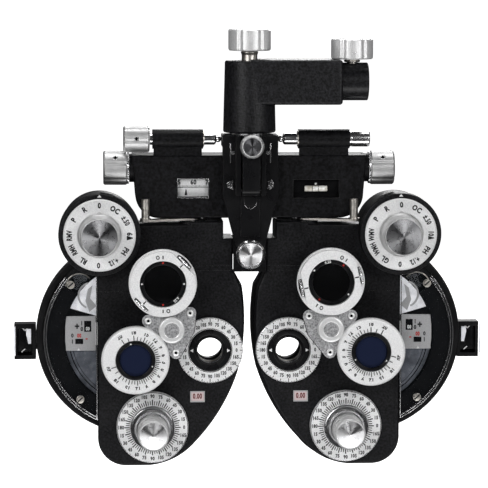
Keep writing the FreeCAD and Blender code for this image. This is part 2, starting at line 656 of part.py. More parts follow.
def convergence_lever():
    px, py = CONVERGE_PIVOT
    pin_x, pin_y = 79.0, -4.8
    z0, z1 = 98.9, 100.4
    length = math.hypot(pin_x - px, pin_y - py)
    nx, ny = -(pin_y - py) / length, (pin_x - px) / length
    def p(x, y, w):
        return V(x + nx * w, y + ny * w, z0)
    corners = [p(px, py, 7.6), p(px, py, -7.6), p(pin_x, pin_y, -4.2), p(pin_x, pin_y, 4.2)]
    web = Part.Face(Part.makePolygon(corners + corners[:1])).extrude(V(0, 0, z1 - z0))
    shape = fuse(web, post(px, py, 7.6, z0, z1), post(pin_x, pin_y, 4.25, z0, z1 + 1))
    shape = fuse(shape, post(pin_x, pin_y, 3.15, z1, 116))
    return shape.cut(post(px, py, POST_R + RUN, z0 - 1, z1 + 1))


# ---------------------------------------------------------------- accessory turret
PLATE_Y = (-21.0, -18.0)
JCC_Y = (-31.5, -22.0)
JCC_RIM_Y = -25.2
JCC_PLATE_R = 24.5
JCC_FLAT = 21.3                      # from the axis to the flats that clear the thumb discs
JCC_AXIS_Y = -27.5
JCC_BORE_R = 17.5
JCC_COLLAR_R = 19.0
JCC_CELL_R = 17.2
JCC_GLASS_R = 14.1
THUMB_DISC_R = 6.2
TRUNNION_R = 1.25
PRISM_CELL_R = 15.0
PRISM_Y = (-27.0, -21.0)


def unit_angles(side):
    """Directions of the cross-cylinder and prism units from the hub."""
    if side == "left":
        return 90 + LEFT_TURRET_TURN, 210 + LEFT_TURRET_TURN
    return 90.0, -30.0


def unit_centres(side):
    hub = side_point(side, TURRET)
    return [polar(hub, UNIT_CIRCLE_R, angle) for angle in unit_angles(side)]


PLATE_CORNER_AT = 18.5
PLATE_CORNER_R = 4.6
NOSE_AT = 15.4                       # the plate's fourth, blunt corner, over the sight aperture
NOSE_R = 2.0
NOSE_TURN = 106.0


def turret_plate(side):
    hub = side_point(side, TURRET)
    jcc, prism = unit_centres(side)
    jcc_angle = unit_angles(side)[0]
    corners = [polar(hub, PLATE_CORNER_AT, jcc_angle + turn) for turn in (-60, 60, 180)]
    inner = corners[0] if side == "left" else corners[1]
    nose_angle = jcc_angle + (NOSE_TURN if side == "right" else -NOSE_TURN)
    nose = polar(hub, NOSE_AT, nose_angle)
    blunt_side = [inner, nose, corners[2]] if side == "right" else [corners[2], nose, inner]
    shape = fuse(
        rounded_plate(corners, PLATE_CORNER_R, *PLATE_Y),
        rounded_plate(blunt_side, NOSE_R, *PLATE_Y),
        plate([corners[0], jcc, corners[1]], *PLATE_Y),
    )
    shape = fuse(shape, rod(jcc, JCC_COLLAR_R + 2.2, *PLATE_Y), rod(prism, 23.5, *PLATE_Y))
    dome = turned(hub, [(0, -29), (5, -29), (5, -30.4), (8.6, -30.4), (9.6, -29.4), (9.6, -20), (0, -20)])
    shape = fuse(shape, dome, rod(hub, 5, -20, 5))
    shape = shape.cut(rod(jcc, JCC_COLLAR_R + RUN, -25, -15))
    return shape.cut(rod(prism, PRISM_CELL_R + RUN, -25, -15))


def jcc_frame(side):
    """Axis frame of the cross cylinder: a flatted face plate on a thin rim, with pockets for thumb discs."""
    y0, y1 = JCC_Y
    face = rod((0, 0), JCC_PLATE_R, y0, JCC_RIM_Y).common(block(-JCC_FLAT, JCC_FLAT, -40, -10, -30, 30))
    ring = fuse(face, rod((0, 0), JCC_R, JCC_RIM_Y, y1), rod((0, 0), JCC_COLLAR_R, y1 - 1, -17.5))
    ring = ring.cut(rod((0, 0), JCC_BORE_R, -40, -10))
    pocket = rod((0, 0), JCC_R - 0.9, -40, -10).common(block(JCC_FLAT, 30, -40, -10, -6.8, 6.8))
    for turn in (0, 180):
        cutter = pocket.copy()
        cutter.rotate(V(0, 0, 0), V(0, 1, 0), turn)
        ring = ring.cut(cutter)
    ring = ring.cut(bar(JCC_AXIS_Y, 0, TRUNNION_R + RUN, -30, 30))
    return set_on_turret(side, ring)


def set_on_turret(side, shape):
    """Turn a cross-cylinder shape to its flip axis and put it at its place on the turret."""
    jcc = unit_centres(side)[0]
    shape.rotate(V(0, 0, 0), V(0, -1, 0), JCC_FLIP_ANGLE[side])
    shape.translate(V(jcc[0], 0, jcc[1]))
    return shape


def jcc_lens(side):
    """Cross-cylinder lens in its flip cell, with two trunnions and their thumb discs."""
    half = 1.6
    cell = tube((0, 0), JCC_CELL_R, JCC_GLASS_R, JCC_AXIS_Y - half, JCC_AXIS_Y + half)
    glass = rod((0, 0), JCC_GLASS_R, JCC_AXIS_Y - 0.9, JCC_AXIS_Y + 0.9)
    inner, outer = 22.3, 23.6
    shape = fuse(cell, glass)
    for sign in (-1, 1):
        for radius, x0, x1 in ((TRUNNION_R, JCC_CELL_R - 1.2, inner + 0.5), (THUMB_DISC_R, inner, outer)):
            low, high = sorted((sign * x0, sign * x1))
            shape = shape.fuse(bar(JCC_AXIS_Y, 0, radius, low, high))
    return set_on_turret(side, shape.removeSplitter())


def prism_frame(side):
    prism = unit_centres(side)[1]
    bore = PRISM_CELL_R + RUN
    profile = [(bore, -21), (bore, -26), (24.6, -27), (PRISM_R, -25.8), (PRISM_R, -21)]
    return turned(prism, profile)


def prism_cell(side):
    prism = unit_centres(side)[1]
    rim = PRISM_CELL_R
    ring = turned(prism, [(12, -27.6), (rim - 0.9, -27.6), (rim, -26.6), (rim, -18.5), (12, -18.5)])
    glass = rod(prism, 12, -25, -20)
    return fuse(ring, glass)


# ---------------------------------------------------------------- write every piece
def main():
    os.makedirs("parts", exist_ok=True)
    central = [
        mount_arm, arm_clamp_knob, swivel_lock_knob, swivel_spindle, yoke_plate, rod_holder_block,
        rod_thumbscrew, crossbar_housing, level_vial, leveling_screw, leveling_knob,
        level_plunger, pd_lead_screw, forehead_pad, forehead_knob,
    ]
    for make in central:
        save(make.__name__, make())
    save("pd_knobs", *pd_knobs())
    single = [
        front_housing, back_cover, clear_cover, weak_sphere_wheel, strong_lens_disc, aux_dial,
        strong_sphere_knob, cylinder_axis_knob, cylinder_power_knob, axis_pointer_ring,
        face_shield, corneal_aligner, convergence_lever,
    ]
    shapes = [(make.__name__, [make()]) for make in single]
    for make in (scale_plates, weak_lenses, housing_screws):
        shapes.append((make.__name__, list(make())))
    for side in ("left", "right"):
        for name, solids in shapes:
            save(f"{side}_{name}", *[on_side(side, solid) for solid in solids])
        for make in (carriage, turret_plate, jcc_frame, jcc_lens, prism_frame, prism_cell):
            save(f"{side}_{make.__name__}", make(side))


main()
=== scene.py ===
import math

import bmesh
import bpy
from mathutils import Matrix, Quaternion, Vector
from mathutils.geometry import convex_hull_2d


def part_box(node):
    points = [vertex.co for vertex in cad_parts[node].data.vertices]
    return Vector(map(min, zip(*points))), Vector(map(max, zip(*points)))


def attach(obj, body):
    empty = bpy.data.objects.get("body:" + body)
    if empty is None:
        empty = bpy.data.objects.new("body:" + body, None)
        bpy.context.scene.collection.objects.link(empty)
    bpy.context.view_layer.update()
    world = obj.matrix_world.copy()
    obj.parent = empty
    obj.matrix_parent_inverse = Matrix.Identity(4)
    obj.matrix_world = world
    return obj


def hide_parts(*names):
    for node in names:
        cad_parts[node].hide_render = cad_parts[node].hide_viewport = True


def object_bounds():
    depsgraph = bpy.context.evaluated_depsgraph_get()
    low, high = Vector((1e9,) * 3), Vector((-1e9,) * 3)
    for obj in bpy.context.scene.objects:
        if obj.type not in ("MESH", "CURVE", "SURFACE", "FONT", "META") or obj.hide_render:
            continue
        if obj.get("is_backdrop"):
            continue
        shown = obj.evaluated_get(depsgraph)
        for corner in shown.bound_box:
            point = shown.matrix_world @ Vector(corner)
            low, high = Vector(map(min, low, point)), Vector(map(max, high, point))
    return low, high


# A manual phoropter. Shapes are built in millimetres of the sight frame: X right, Y away from the
# examiner, Z up, with the origin midway between the two sight apertures on the housings' front plane.

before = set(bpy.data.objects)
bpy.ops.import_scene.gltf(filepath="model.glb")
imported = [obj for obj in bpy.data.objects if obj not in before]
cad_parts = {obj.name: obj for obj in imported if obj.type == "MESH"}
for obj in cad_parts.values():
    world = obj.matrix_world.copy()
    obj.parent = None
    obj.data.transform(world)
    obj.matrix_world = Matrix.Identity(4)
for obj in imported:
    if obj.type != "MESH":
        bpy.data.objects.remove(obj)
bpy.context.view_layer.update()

MM = 0.001
TAU = 2 * math.pi
SIDES = {"left": -1, "right": 1}


def centre(node):
    low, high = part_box(node)
    return (low + high) / 2


POINTER_BACK_Y = 4.5
left_eye, right_eye = centre("left_axis_pointer_ring"), centre("right_axis_pointer_ring")
SIGHT = Vector((
    (left_eye.x + right_eye.x) / 2,
    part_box("left_axis_pointer_ring")[1].y - POINTER_BACK_Y * MM,
    left_eye.z,
))


def at(x, y, z):
    """A point of the sight frame, in millimetres, as a point of the row frame, in metres."""
    return SIGHT + Vector((x, y, z)) * MM


def centre_of(node):
    """A node's middle, in millimetres of the sight frame."""
    return (centre(node) - SIGHT) / MM


def spot(node):
    middle = centre_of(node)
    return middle.x, middle.z


def span(node):
    """(low, high) corners of a node in millimetres of the sight frame."""
    low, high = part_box(node)
    return (low - SIGHT) / MM, (high - SIGHT) / MM


def facing(x, z, y=0.0):
    """Local plane seen square-on by the examiner: local Z comes towards the examiner from y."""
    return Matrix.Translation((x, y, z)) @ Matrix.Rotation(math.radians(90), 4, "X")


def pointing(x, y, z, sign):
    """Local Z along X (sign 1) or against it (sign -1)."""
    return Matrix.Translation((x, y, z)) @ Matrix.Rotation(math.radians(90 * sign), 4, "Y")


def upright(x, y, z):
    return Matrix.Translation((x, y, z))


def turn(degrees):
    return Matrix.Rotation(math.radians(degrees), 4, "Z")


def polar(x, z, radius, degrees):
    return x + radius * math.cos(math.radians(degrees)), z + radius * math.sin(math.radians(degrees))


# ---------------------------------------------------------------- materials
def socket_value(shader, name, value):
    shader.inputs[name].default_value = value


class Finish:
    """A procedural material with its node helpers."""

    def __init__(self, name, colour, roughness, metallic=0.0, **extra):
        self.material = bpy.data.materials.new(name)
        self.material.use_nodes = True
        self.tree = self.material.node_tree
        self.shader = self.tree.nodes["Principled BSDF"]
        socket_value(self.shader, "Base Color", (*colour, 1))
        socket_value(self.shader, "Roughness", roughness)
        socket_value(self.shader, "Metallic", metallic)
        for key, value in extra.items():
            socket_value(self.shader, key.replace("_", " "), value)
        self.colour = colour
        self.roughness = roughness
        self.normal = None
        self.place = self.add("ShaderNodeTexCoord").outputs["Object"]

    def add(self, kind, sockets=None, **settings):
        node = self.tree.nodes.new(kind)
        for key, value in settings.items():
            setattr(node, key, value)
        for key, value in (sockets or {}).items():
            socket_value(node, key, value)
        return node

    def link(self, a, b):
        self.tree.links.new(a, b)

    def noise(self, size, detail):
        """Noise whose features are size millimetres across."""
        node = self.add("ShaderNodeTexNoise", {"Scale": 1 / (size * MM), "Detail": detail})
        self.link(self.place, node.inputs["Vector"])
        return node.outputs["Fac"]

    def band(self, value, low, high, to_low, to_high):
        node = self.add("ShaderNodeMapRange", {
            "From Min": low, "From Max": high, "To Min": to_low, "To Max": to_high})
        self.link(value, node.inputs["Value"])
        return node.outputs["Result"]

    def vary_colour(self, value, low, high, dark, light):
        """Base colour runs from dark to light times its own as value goes from low to high."""
        ramp = self.add("ShaderNodeMix", data_type="RGBA")
        ramp.inputs[6].default_value = (*[c * dark for c in self.colour], 1)
        ramp.inputs[7].default_value = (*[min(1, c * light) for c in self.colour], 1)
        self.link(self.band(value, low, high, 0, 1), ramp.inputs["Factor"])
        self.link(ramp.outputs[2], self.shader.inputs["Base Color"])
        self.colour_out = ramp.outputs[2]
        return self

    def vary_roughness(self, value, spread):
        self.link(self.band(value, 0.3, 0.7, self.roughness - spread, self.roughness + spread),
                  self.shader.inputs["Roughness"])
        return self

    def bump(self, value, strength, height):
        """Relief of height millimetres."""
        node = self.add("ShaderNodeBump", {"Strength": strength, "Distance": height * MM})
        self.link(value, node.inputs["Height"])
        if self.normal is not None:
            self.link(self.normal, node.inputs["Normal"])
        self.normal = node.outputs["Normal"]
        self.link(self.normal, self.shader.inputs["Normal"])
        return self

    def soft_edges(self, radius):
        """Edges catch the light as if rounded by radius millimetres."""
        node = self.add("ShaderNodeBevel", {"Radius": radius * MM}, samples=4)
        self.normal = node.outputs["Normal"]
        self.link(self.normal, self.shader.inputs["Normal"])
        return self

    def worn_edges(self, radius, colour, amount):
        """Paint rubbed thin along the edges, in patches."""
        rounded = self.add("ShaderNodeBevel", {"Radius": radius * MM}, samples=4)
        plain = self.add("ShaderNodeNewGeometry")
        dot = self.add("ShaderNodeVectorMath", operation="DOT_PRODUCT")
        self.link(rounded.outputs["Normal"], dot.inputs[0])
        self.link(plain.outputs["Normal"], dot.inputs[1])
        edge = self.band(dot.outputs["Value"], 0.99, 0.86, 0, 1)
        patch = self.band(self.noise(6, 3), 0.45, 0.62, 0.15, amount)
        both = self.add("ShaderNodeMath", operation="MULTIPLY")
        self.link(edge, both.inputs[0])
        self.link(patch, both.inputs[1])
        mix = self.add("ShaderNodeMix", data_type="RGBA")
        mix.inputs[7].default_value = (*colour, 1)
        mix.inputs[6].default_value = (*self.colour, 1)
        if hasattr(self, "colour_out"):
            self.link(self.colour_out, mix.inputs[6])
        self.link(both.outputs[0], mix.inputs["Factor"])
        self.link(mix.outputs[2], self.shader.inputs["Base Color"])
        return self

    def spun(self, axis, strength):
        """Lathe-turned metal: the sheen runs across fine rings about the axis."""
        tangent = self.add("ShaderNodeTangent", direction_type="RADIAL", axis=axis)
        self.link(tangent.outputs["Tangent"], self.shader.inputs["Tangent"])
        socket_value(self.shader, "Anisotropic", strength)
        return self


def painted(name, colour, roughness, grain, relief, wear=None, dark=0.7, light=1.6):
    f = Finish(name, colour, roughness, Specular_IOR_Level=0.25)
    f.soft_edges(0.35)
    f.vary_colour(f.noise(grain * 1.4, 3), 0.34, 0.66, dark, light)
    f.vary_roughness(f.noise(14, 2), 0.07)
    f.bump(f.noise(grain, 2), 0.55, relief)
    if wear:
        f.worn_edges(0.5, wear, 0.6)
    return f.material


def turned_metal(name, colour, roughness, axis, strength=0.75):
    f = Finish(name, colour, roughness, 1.0)
    f.vary_colour(f.noise(9, 3), 0.3, 0.7, 0.93, 1.05)
    f.vary_roughness(f.noise(2.5, 4), 0.04)
    f.spun(axis, strength)
    return f.material


def plain_metal(name, colour, roughness, grain=1.6, relief=0.004):
    f = Finish(name, colour, roughness, 1.0)
    f.soft_edges(0.2)
    f.vary_colour(f.noise(8, 3), 0.3, 0.7, 0.9, 1.06)
    f.vary_roughness(f.noise(3, 3), 0.05)
    f.bump(f.noise(grain, 2), 0.3, relief)
    return f.material


def scale_metal(name, colour, roughness, metallic, grain, dark, light, relief=0.012):
    f = Finish(name, colour, roughness, metallic)
    f.soft_edges(0.15)
    f.vary_colour(f.noise(grain, 2), 0.32, 0.68, dark, light)
    f.vary_roughness(f.noise(5, 2), 0.06)
    f.bump(f.noise(grain * 0.6, 1), 0.5, relief)
    return f.material


def ink(name, colour):
    f = Finish(name, colour, 0.5)
    f.vary_colour(f.noise(0.8, 2), 0.3, 0.7, 0.75, 1.25)
    return f.material


def glass(name, colour, ior, roughness=0.02):
    f = Finish(name, colour, roughness, Transmission_Weight=1.0, IOR=ior)
    f.vary_roughness(f.noise(12, 2), min(roughness, 0.015))
    return f.material


def clear(name, colour, opacity):
    """Thin clear sheet: what is behind it stays lit."""
    f = Finish(name, colour, 0.06, Alpha=opacity)
    f.vary_roughness(f.noise(12, 2), 0.03)
    f.bump(f.noise(30, 1), 0.2, 0.05)
    return f.material


def glowing(material, strength):
    """Painted light: the pane glows faintly, standing in for light from behind it."""
    shader = material.node_tree.nodes["Principled BSDF"]
    socket_value(shader, "Emission Color", (0.9, 0.92, 1.0, 1))
    socket_value(shader, "Emission Strength", strength)
    return material


M = {
    "wrinkle": painted("wrinkle_black", (0.0046, 0.0046, 0.0054), 0.4, 1.15, 0.36, (0.05, 0.05, 0.055), 0.0, 3.0),
    "satin": painted("satin_black", (0.0055, 0.0055, 0.0062), 0.3, 0.35, 0.01, (0.09, 0.09, 0.09)),
    "plastic": painted("black_plastic", (0.0065, 0.0065, 0.0072), 0.36, 0.6, 0.03, (0.04, 0.04, 0.04)),
    "inner": painted("inner_black", (0.004, 0.004, 0.0045), 0.5, 0.6, 0.01),
    "rubber": painted("rubber_black", (0.012, 0.012, 0.012), 0.62, 0.5, 0.03),
    "nickel": plain_metal("nickel", (0.84, 0.8, 0.74), 0.34, 1.6, 0.001),
    "chrome": plain_metal("chrome", (0.9, 0.9, 0.91), 0.2, 2.5, 0.0004),
    "steel": plain_metal("steel_rod", (0.5, 0.5, 0.51), 0.28),
    "knob": plain_metal("knob_aluminium", (0.74, 0.74, 0.74), 0.48, 1.6, 0.002),
    "bright": scale_metal("bright_aluminium", (0.95, 0.95, 0.95), 0.34, 0.45, 1.2, 0.92, 1.05, 0.004),
    "spun_y": turned_metal("spun_aluminium_front", (0.93, 0.93, 0.94), 0.3, "Y", 0.95),
    # Darker copy of the spun aluminium for the knob caps, toned down for the lamp light they catch: painted shade.
    "spun_cap_shaded": turned_metal("spun_cap_shaded_front", (0.33, 0.33, 0.34), 0.29, "Y", 0.96),
    # Darker copy of the spun aluminium for the thumbscrew's recessed face: painted shade.
    "spun_shaded_recess": turned_metal("spun_shaded_recess_front", (0.2, 0.2, 0.21), 0.3, "Y", 0.95),
    # Darker copy of the black paint for the crossbar, which the lamps light more: painted shade.
    "bar": painted("bar_black_shaded", (0.0026, 0.0026, 0.0031), 0.46, 1.4, 0.4, (0.04, 0.04, 0.045), 0.0, 3.4),
    "scale": scale_metal("scale_aluminium", (0.96, 0.96, 0.97), 0.4, 0.1, 0.9, 0.88, 1.05),
    "blasted": scale_metal("blasted_aluminium", (0.42, 0.42, 0.43), 0.42, 0.4, 1.3, 0.5, 1.5, 0.06),
    "acrylic": clear("clear_acrylic", (0.03, 0.035, 0.04), 0.06),
    "lens": glass("lens_glass", (0.80, 0.84, 0.9), 1.5, 0.01),
    "jcc_glass": glass("dark_coated_glass", (0.05, 0.05, 0.055), 1.45, 0.01),
    "prism_glass": glass("navy_coated_glass", (0.02, 0.028, 0.07), 1.5, 0.02),
    "vial": painted("vial_cream", (0.78, 0.72, 0.6), 0.12, 3.0, 0.004),
    "black_ink": ink("black_ink", (0.006, 0.006, 0.007)),
    "white_ink": ink("white_ink", (0.85, 0.85, 0.84)),
    "red_ink": ink("red_ink", (0.55, 0.02, 0.012)),
    "maroon_ink": ink("maroon_ink", (0.16, 0.02, 0.018)),
    "drum": scale_metal("pink_drum", (0.74, 0.62, 0.62), 0.5, 0.0, 0.8, 0.92, 1.06, 0.004),
    "grey_plate": scale_metal("readout_plate", (0.5, 0.5, 0.51), 0.5, 0.1, 0.5, 0.9, 1.08),
    # Glossy black for black parts, and also painted shade: socket discs, groove bands and a shadow line round the
    # turret plate.
    "window": painted("gloss_black_and_painted_shade", (0.004, 0.004, 0.0045), 0.22, 0.8, 0.003),
    # The pale pane's faint glow is painted light.
    "pane_light": glowing(scale_metal("frosted_pane_painted_glow", (0.85, 0.85, 0.86), 0.3, 0.0, 9.0, 0.62, 1.15, 0.002), 0.28),
    "pane_slate": scale_metal("slate_pane", (0.13, 0.14, 0.165), 0.25, 0.0, 11.0, 0.6, 1.5, 0.002),
}
for key, socket, value in (("prism_glass", "Transmission Weight", 0.4), ("bar", "Specular IOR Level", 0.16)):
    socket_value(M[key].node_tree.nodes["Principled BSDF"], socket, value)

# The CAD material slot that each finish goes with, unless its piece says otherwise.
SLOT_FINISHES = {
    "polished_aluminium": ("bright", "knob", "spun_y", "spun_cap_shaded", "spun_shaded_recess"), "nickel": ("chrome", "nickel"),
    "inner_black": ("window", "inner"), "satin_black": ("satin",), "black_plastic": ("plastic",),
    "rubber_black": ("rubber",), "steel_rod": ("steel",), "scale_aluminium": ("scale", "grey_plate", "drum"),
    "blasted_aluminium": ("blasted",), "clear_acrylic": ("acrylic",), "vial_glass": ("vial",),
    "lens_glass": ("pane_light", "pane_slate", "jcc_glass", "prism_glass"),
}
SLOTS = {finish: slot for slot, finishes in SLOT_FINISHES.items() for finish in finishes}


# ---------------------------------------------------------------- mesh builders
def eased(profile):
    """Profile points (r, h) or (r, h, fillet); the last kind becomes a short arc."""
    out = []
    count = len(profile)
    for i, point in enumerate(profile):
        here = Vector(point[:2])
        if len(point) < 3 or i in (0, count - 1):
            out.append(tuple(here))
            continue
        before, after = Vector(profile[i - 1][:2]) - here, Vector(profile[i + 1][:2]) - here
        reach = min(point[2], before.length * 0.49, after.length * 0.49)
        a, b = here + before.normalized() * reach, here + after.normalized() * reach
        for k in range(4):
            t = k / 3
            out.append(tuple(a * (1 - t) ** 2 + here * 2 * t * (1 - t) + b * t * t))
    return out


def ring(bm, place, h, radii):
    """Closed row of points about place's local Z at height h; radius 0 makes it a single point."""
    if radii[0] < 1e-6:
        return [bm.verts.new(place @ Vector((0, 0, h)))]
    angles = [TAU * k / len(radii) for k in range(len(radii))]
    return [bm.verts.new(place @ Vector((r * math.cos(a), r * math.sin(a), h))) for r, a in zip(radii, angles)]


def skin(bm, rings, loop=False):
    """Faces from each row of points to the next, and from the last to the first if loop."""
    for a, b in list(zip(rings, rings[1:])) + ([(rings[-1], rings[0])] if loop else []):
        count = max(len(a), len(b))
        for k in range(count if count > 1 else 0):
            n = (k + 1) % count
            if len(a) == 1:
                bm.faces.new((a[0], b[k], b[n]))
            elif len(b) == 1:
                bm.faces.new((a[k], b[0], a[n]))
            else:
                bm.faces.new((a[k], b[k], b[n], a[n]))


def lathe(place, profile, segments=96, loop=False, teeth=None):
    """Turned surface about place's local Z. teeth = (least radius, depth) cuts every other line of
    points at or beyond that radius back by depth."""
    bm = bmesh.new()
    rings = []
    for r, h in eased(profile):
        cut = teeth[1] if teeth and r >= teeth[0] else 0
        rings.append(ring(bm, place, h, [r - cut if k % 2 else r for k in range(segments)]))
    skin(bm, rings, loop)
    return bm


def prism(place, outline, low, high, bevel=0.0):
    """Solid over a local (u, v) outline from height low to high, with rounded edges."""
    bm = bmesh.new()
    under = [bm.verts.new((u, v, low)) for u, v in outline]
    over = [bm.verts.new((u, v, high)) for u, v in outline]
    bm.faces.new(under[::-1])
    bm.faces.new(over)
    count = len(outline)
    for i in range(count):
        n = (i + 1) % count
        bm.faces.new((under[i], under[n], over[n], over[i]))
    bmesh.ops.recalc_face_normals(bm, faces=bm.faces)
    if bevel:
        sharp = [e for e in bm.edges if e.calc_face_angle(0) > math.radians(28)]
        bmesh.ops.bevel(bm, geom=sharp, offset=bevel, segments=2, affect="EDGES", profile=0.6)
    bmesh.ops.transform(bm, matrix=place, verts=bm.verts)
    return bm


def pour(bm, part):
    """Adds part to bm and frees it."""
    mesh = bpy.data.meshes.new("part")
    part.to_mesh(mesh)
    part.free()
    bm.from_mesh(mesh)
    bpy.data.meshes.remove(mesh)


def rectangle(u0, u1, v0, v1):
    return [(u0, v0), (u1, v0), (u1, v1), (u0, v1)]


def rounded(u0, u1, v0, v1, radius, steps=5):
    points = []
    for cu, cv, start in ((u1 - radius, v1 - radius, 0), (u0 + radius, v1 - radius, 90),
                          (u0 + radius, v0 + radius, 180), (u1 - radius, v0 + radius, 270)):
        for k in range(steps + 1):
            points.append(polar(cu, cv, radius, start + 90 * k / steps))
    return points


def arc(radius, start, end, steps):
    return [polar(0, 0, radius, start + (end - start) * k / steps) for k in range(steps + 1)]


def arc_band(inner, outer, start, end, steps=24):
    return arc(outer, start, end, steps) + arc(inner, end, start, steps)


def piece(name, finish, body, *solids, node=None, slot=None, sharp=34):
    """Makes an object of the solids, on a CAD body, standing for a CAD node if one is named."""
    bm = bmesh.new()
    for solid in solids:
        pour(bm, solid)
    bmesh.ops.recalc_face_normals(bm, faces=bm.faces)
    bmesh.ops.transform(bm, matrix=Matrix.Translation(SIGHT) @ Matrix.Scale(MM, 4), verts=bm.verts)
    corners = [[v.co[i] for v in bm.verts] for i in range(3)]
    middle = Vector([(min(c) + max(c)) / 2 for c in corners])
    bmesh.ops.translate(bm, vec=-middle, verts=bm.verts)
    mesh = bpy.data.meshes.new(name)
    bm.to_mesh(mesh)
    bm.free()
    mesh.materials.append(M[finish])
    mesh.shade_smooth()
    mesh.set_sharp_from_angle(angle=math.radians(sharp))
    made = bpy.data.objects.new(name, mesh)
    made.location = middle
    bpy.context.scene.collection.objects.link(made)
    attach(made, body)
    slot = slot or SLOTS.get(finish)
    if node:
        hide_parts(node)
    return made


words = {}


def word_mesh(text):
    """Outline of a word as a thin solid, with capitals one unit high, about the origin."""
    if text not in words:
        curve = bpy.data.curves.new("word", "FONT")
        curve.body = text
        curve.align_x, curve.align_y = "CENTER", "CENTER"
        curve.size = 1.37
        curve.resolution_u = 2
        curve.space_character = 1.1
        curve.extrude = 0.02
        curve.offset = 0.062
        holder = bpy.data.objects.new("word", curve)
        bpy.context.scene.collection.objects.link(holder)
        bpy.context.view_layer.update()
        graph = bpy.context.evaluated_depsgraph_get()
        mesh = bpy.data.meshes.new_from_object(holder.evaluated_get(graph), depsgraph=graph)
        bpy.data.objects.remove(holder)
        bpy.data.curves.remove(curve)
        mesh.materials.clear()
        words[text] = mesh
    return words[text]


class Marks:
    """Printed marks on a plane seen square-on at y: ticks, words, triangles and dots, as one thin mesh."""

    def __init__(self, x, z, y, lean=0.0):
        self.bm = bmesh.new()
        self.place = facing(x, z, y) @ turn(lean)

    def word(self, text, u, v, height, lean=0.0, width=0.86):
        part = bmesh.new()
        part.from_mesh(word_mesh(text))
        size = Matrix.Diagonal((height * width, height, height, 1))
        move = self.place @ Matrix.Translation((u, v, 0.05)) @ turn(lean) @ size
        bmesh.ops.transform(part, matrix=move, verts=part.verts)
        pour(self.bm, part)

    def shape(self, points):
        pour(self.bm, prism(self.place, points, -0.02, 0.08))

    def around(self, text, radius, degrees, height, width=0.86):
        """A word at an angle with its top outwards."""
        self.word(text, *polar(0, 0, radius, degrees), height, degrees - 90, width)

    def tick(self, degrees, inner, outer, thick):
        a, n = Vector(polar(0, 0, 1, degrees)), Vector(polar(0, 0, thick / 2, degrees + 90))
        self.shape([tuple(a * inner - n), tuple(a * outer - n), tuple(a * outer + n), tuple(a * inner + n)])

    def triangle(self, degrees, base, tip, half):
        a, n = Vector(polar(0, 0, 1, degrees)), Vector(polar(0, 0, half, degrees + 90))
        self.shape([tuple(a * base - n), tuple(a * tip), tuple(a * base + n)])

    def dot(self, u, v, radius):
        self.shape([polar(u, v, radius, 30 * k) for k in range(12)])


KNOB_LOBES = 6
LOBE_STEPS = 24                                # points round each lobe
FLUTE_CENTRE, FLUTE_RADIUS = 1.1, 0.16         # of the grip's radius


def lobed_grip(place, radius, height):
    """Grip with six broad lobes, chamfered rims and a shallow dished end."""
    count = KNOB_LOBES * LOBE_STEPS
    reach, flute = radius * FLUTE_CENTRE, radius * FLUTE_RADIUS

    def outline(k):
        angle = TAU / KNOB_LOBES * ((k % LOBE_STEPS) / LOBE_STEPS - 0.5)
        inside = flute ** 2 - (reach * math.sin(angle)) ** 2
        return radius if inside <= 0 else min(radius, reach * math.cos(angle) - math.sqrt(inside))

    raw = [outline(k) for k in range(count)]
    radii = [(raw[k - 1] + 2 * raw[k] + raw[(k + 1) % count]) / 4 for k in range(count)]
    stations = [(0, 0), (radius - 2.2, 0), (radius - 0.9, 0.12), (radius - 0.25, 0.9), (radius, 1.2),
                (radius, height - 1.2), (radius - 0.25, height - 0.9), (radius - 0.95, height - 0.12),
                (radius - 1.5, height), (radius - 4.5, height), (radius - 5.2, height - 0.7),
                (3.0, height - 0.8), (2.6, height - 2.0), (0, height - 2.0)]
    bm = bmesh.new()
    rings = []
    for r, h in stations:
        lobed = radius - r < 3
        rings.append(ring(bm, place, h, [max(0.3, edge - (radius - r)) if lobed else r for edge in radii]))
    skin(bm, rings)
    return bm


def set_screw(name, place, radius, body):
    """Grub screw sunk in a grip: a bright lip round a black disc, which is painted shade in its socket."""
    lip = [(radius - 0.35, -0.6), (radius - 0.3, 0.12, 0.08), (radius, 0.12, 0.08), (radius, -0.6)]
    piece(f"{name}_lip", "chrome", body, lathe(place, lip, 32, loop=True))
    # The socket is a black disc: painted shade.
    socket = [(0, 0.02), (radius - 0.3, 0.05), (radius - 0.3, -0.6), (0, -0.6)]
    piece(f"{name}_socket", "window", body, lathe(place, socket, 4))


def screw_head(place, radius, height, slot_angle):
    """Slotted cheese-head screw, as three solids."""
    start = math.degrees(math.asin(0.16))
    half = arc(radius, start, 180 - start, 12)
    for outline in (half, [(-u, -v) for u, v in half]):
        yield prism(place @ turn(slot_angle), outline, height * 0.45, height, radius * 0.09)
    yield lathe(place, [(0, -0.4), (radius, -0.4), (radius, height * 0.5), (0, height * 0.5)], 32)


# ---------------------------------------------------------------- carried-over CAD nodes
SATIN_START_X = 69.5                           # the arm's smooth collar starts here


def arm_finish():
    """Wrinkle paint that turns smooth at the arm's end collar."""
    wrinkled, smooth = 0.4, 0.34
    limit = at(SATIN_START_X, 0, 0).x
    f = Finish("arm_black", (0.0058, 0.0058, 0.0067), wrinkled, Specular_IOR_Level=0.3)
    f.soft_edges(0.35)
    split = f.add("ShaderNodeSeparateXYZ")
    f.link(f.place, split.inputs[0])
    side = f.band(split.outputs["X"], limit - 0.0002, limit + 0.0002, 0, 1)
    f.vary_colour(f.noise(1.6, 3), 0.34, 0.66, 0.0, 3.2)
    f.link(f.band(side, 0, 1, wrinkled, smooth), f.shader.inputs["Roughness"])
    relief = f.add("ShaderNodeMath", operation="MULTIPLY")
    f.link(f.noise(1.2, 2), relief.inputs[0])
    f.link(f.band(side, 0, 1, 1, 0.03), relief.inputs[1])
    f.bump(relief.outputs[0], 0.55, 0.42)
    f.worn_edges(0.5, (0.05, 0.05, 0.055), 0.6)
    return f.material


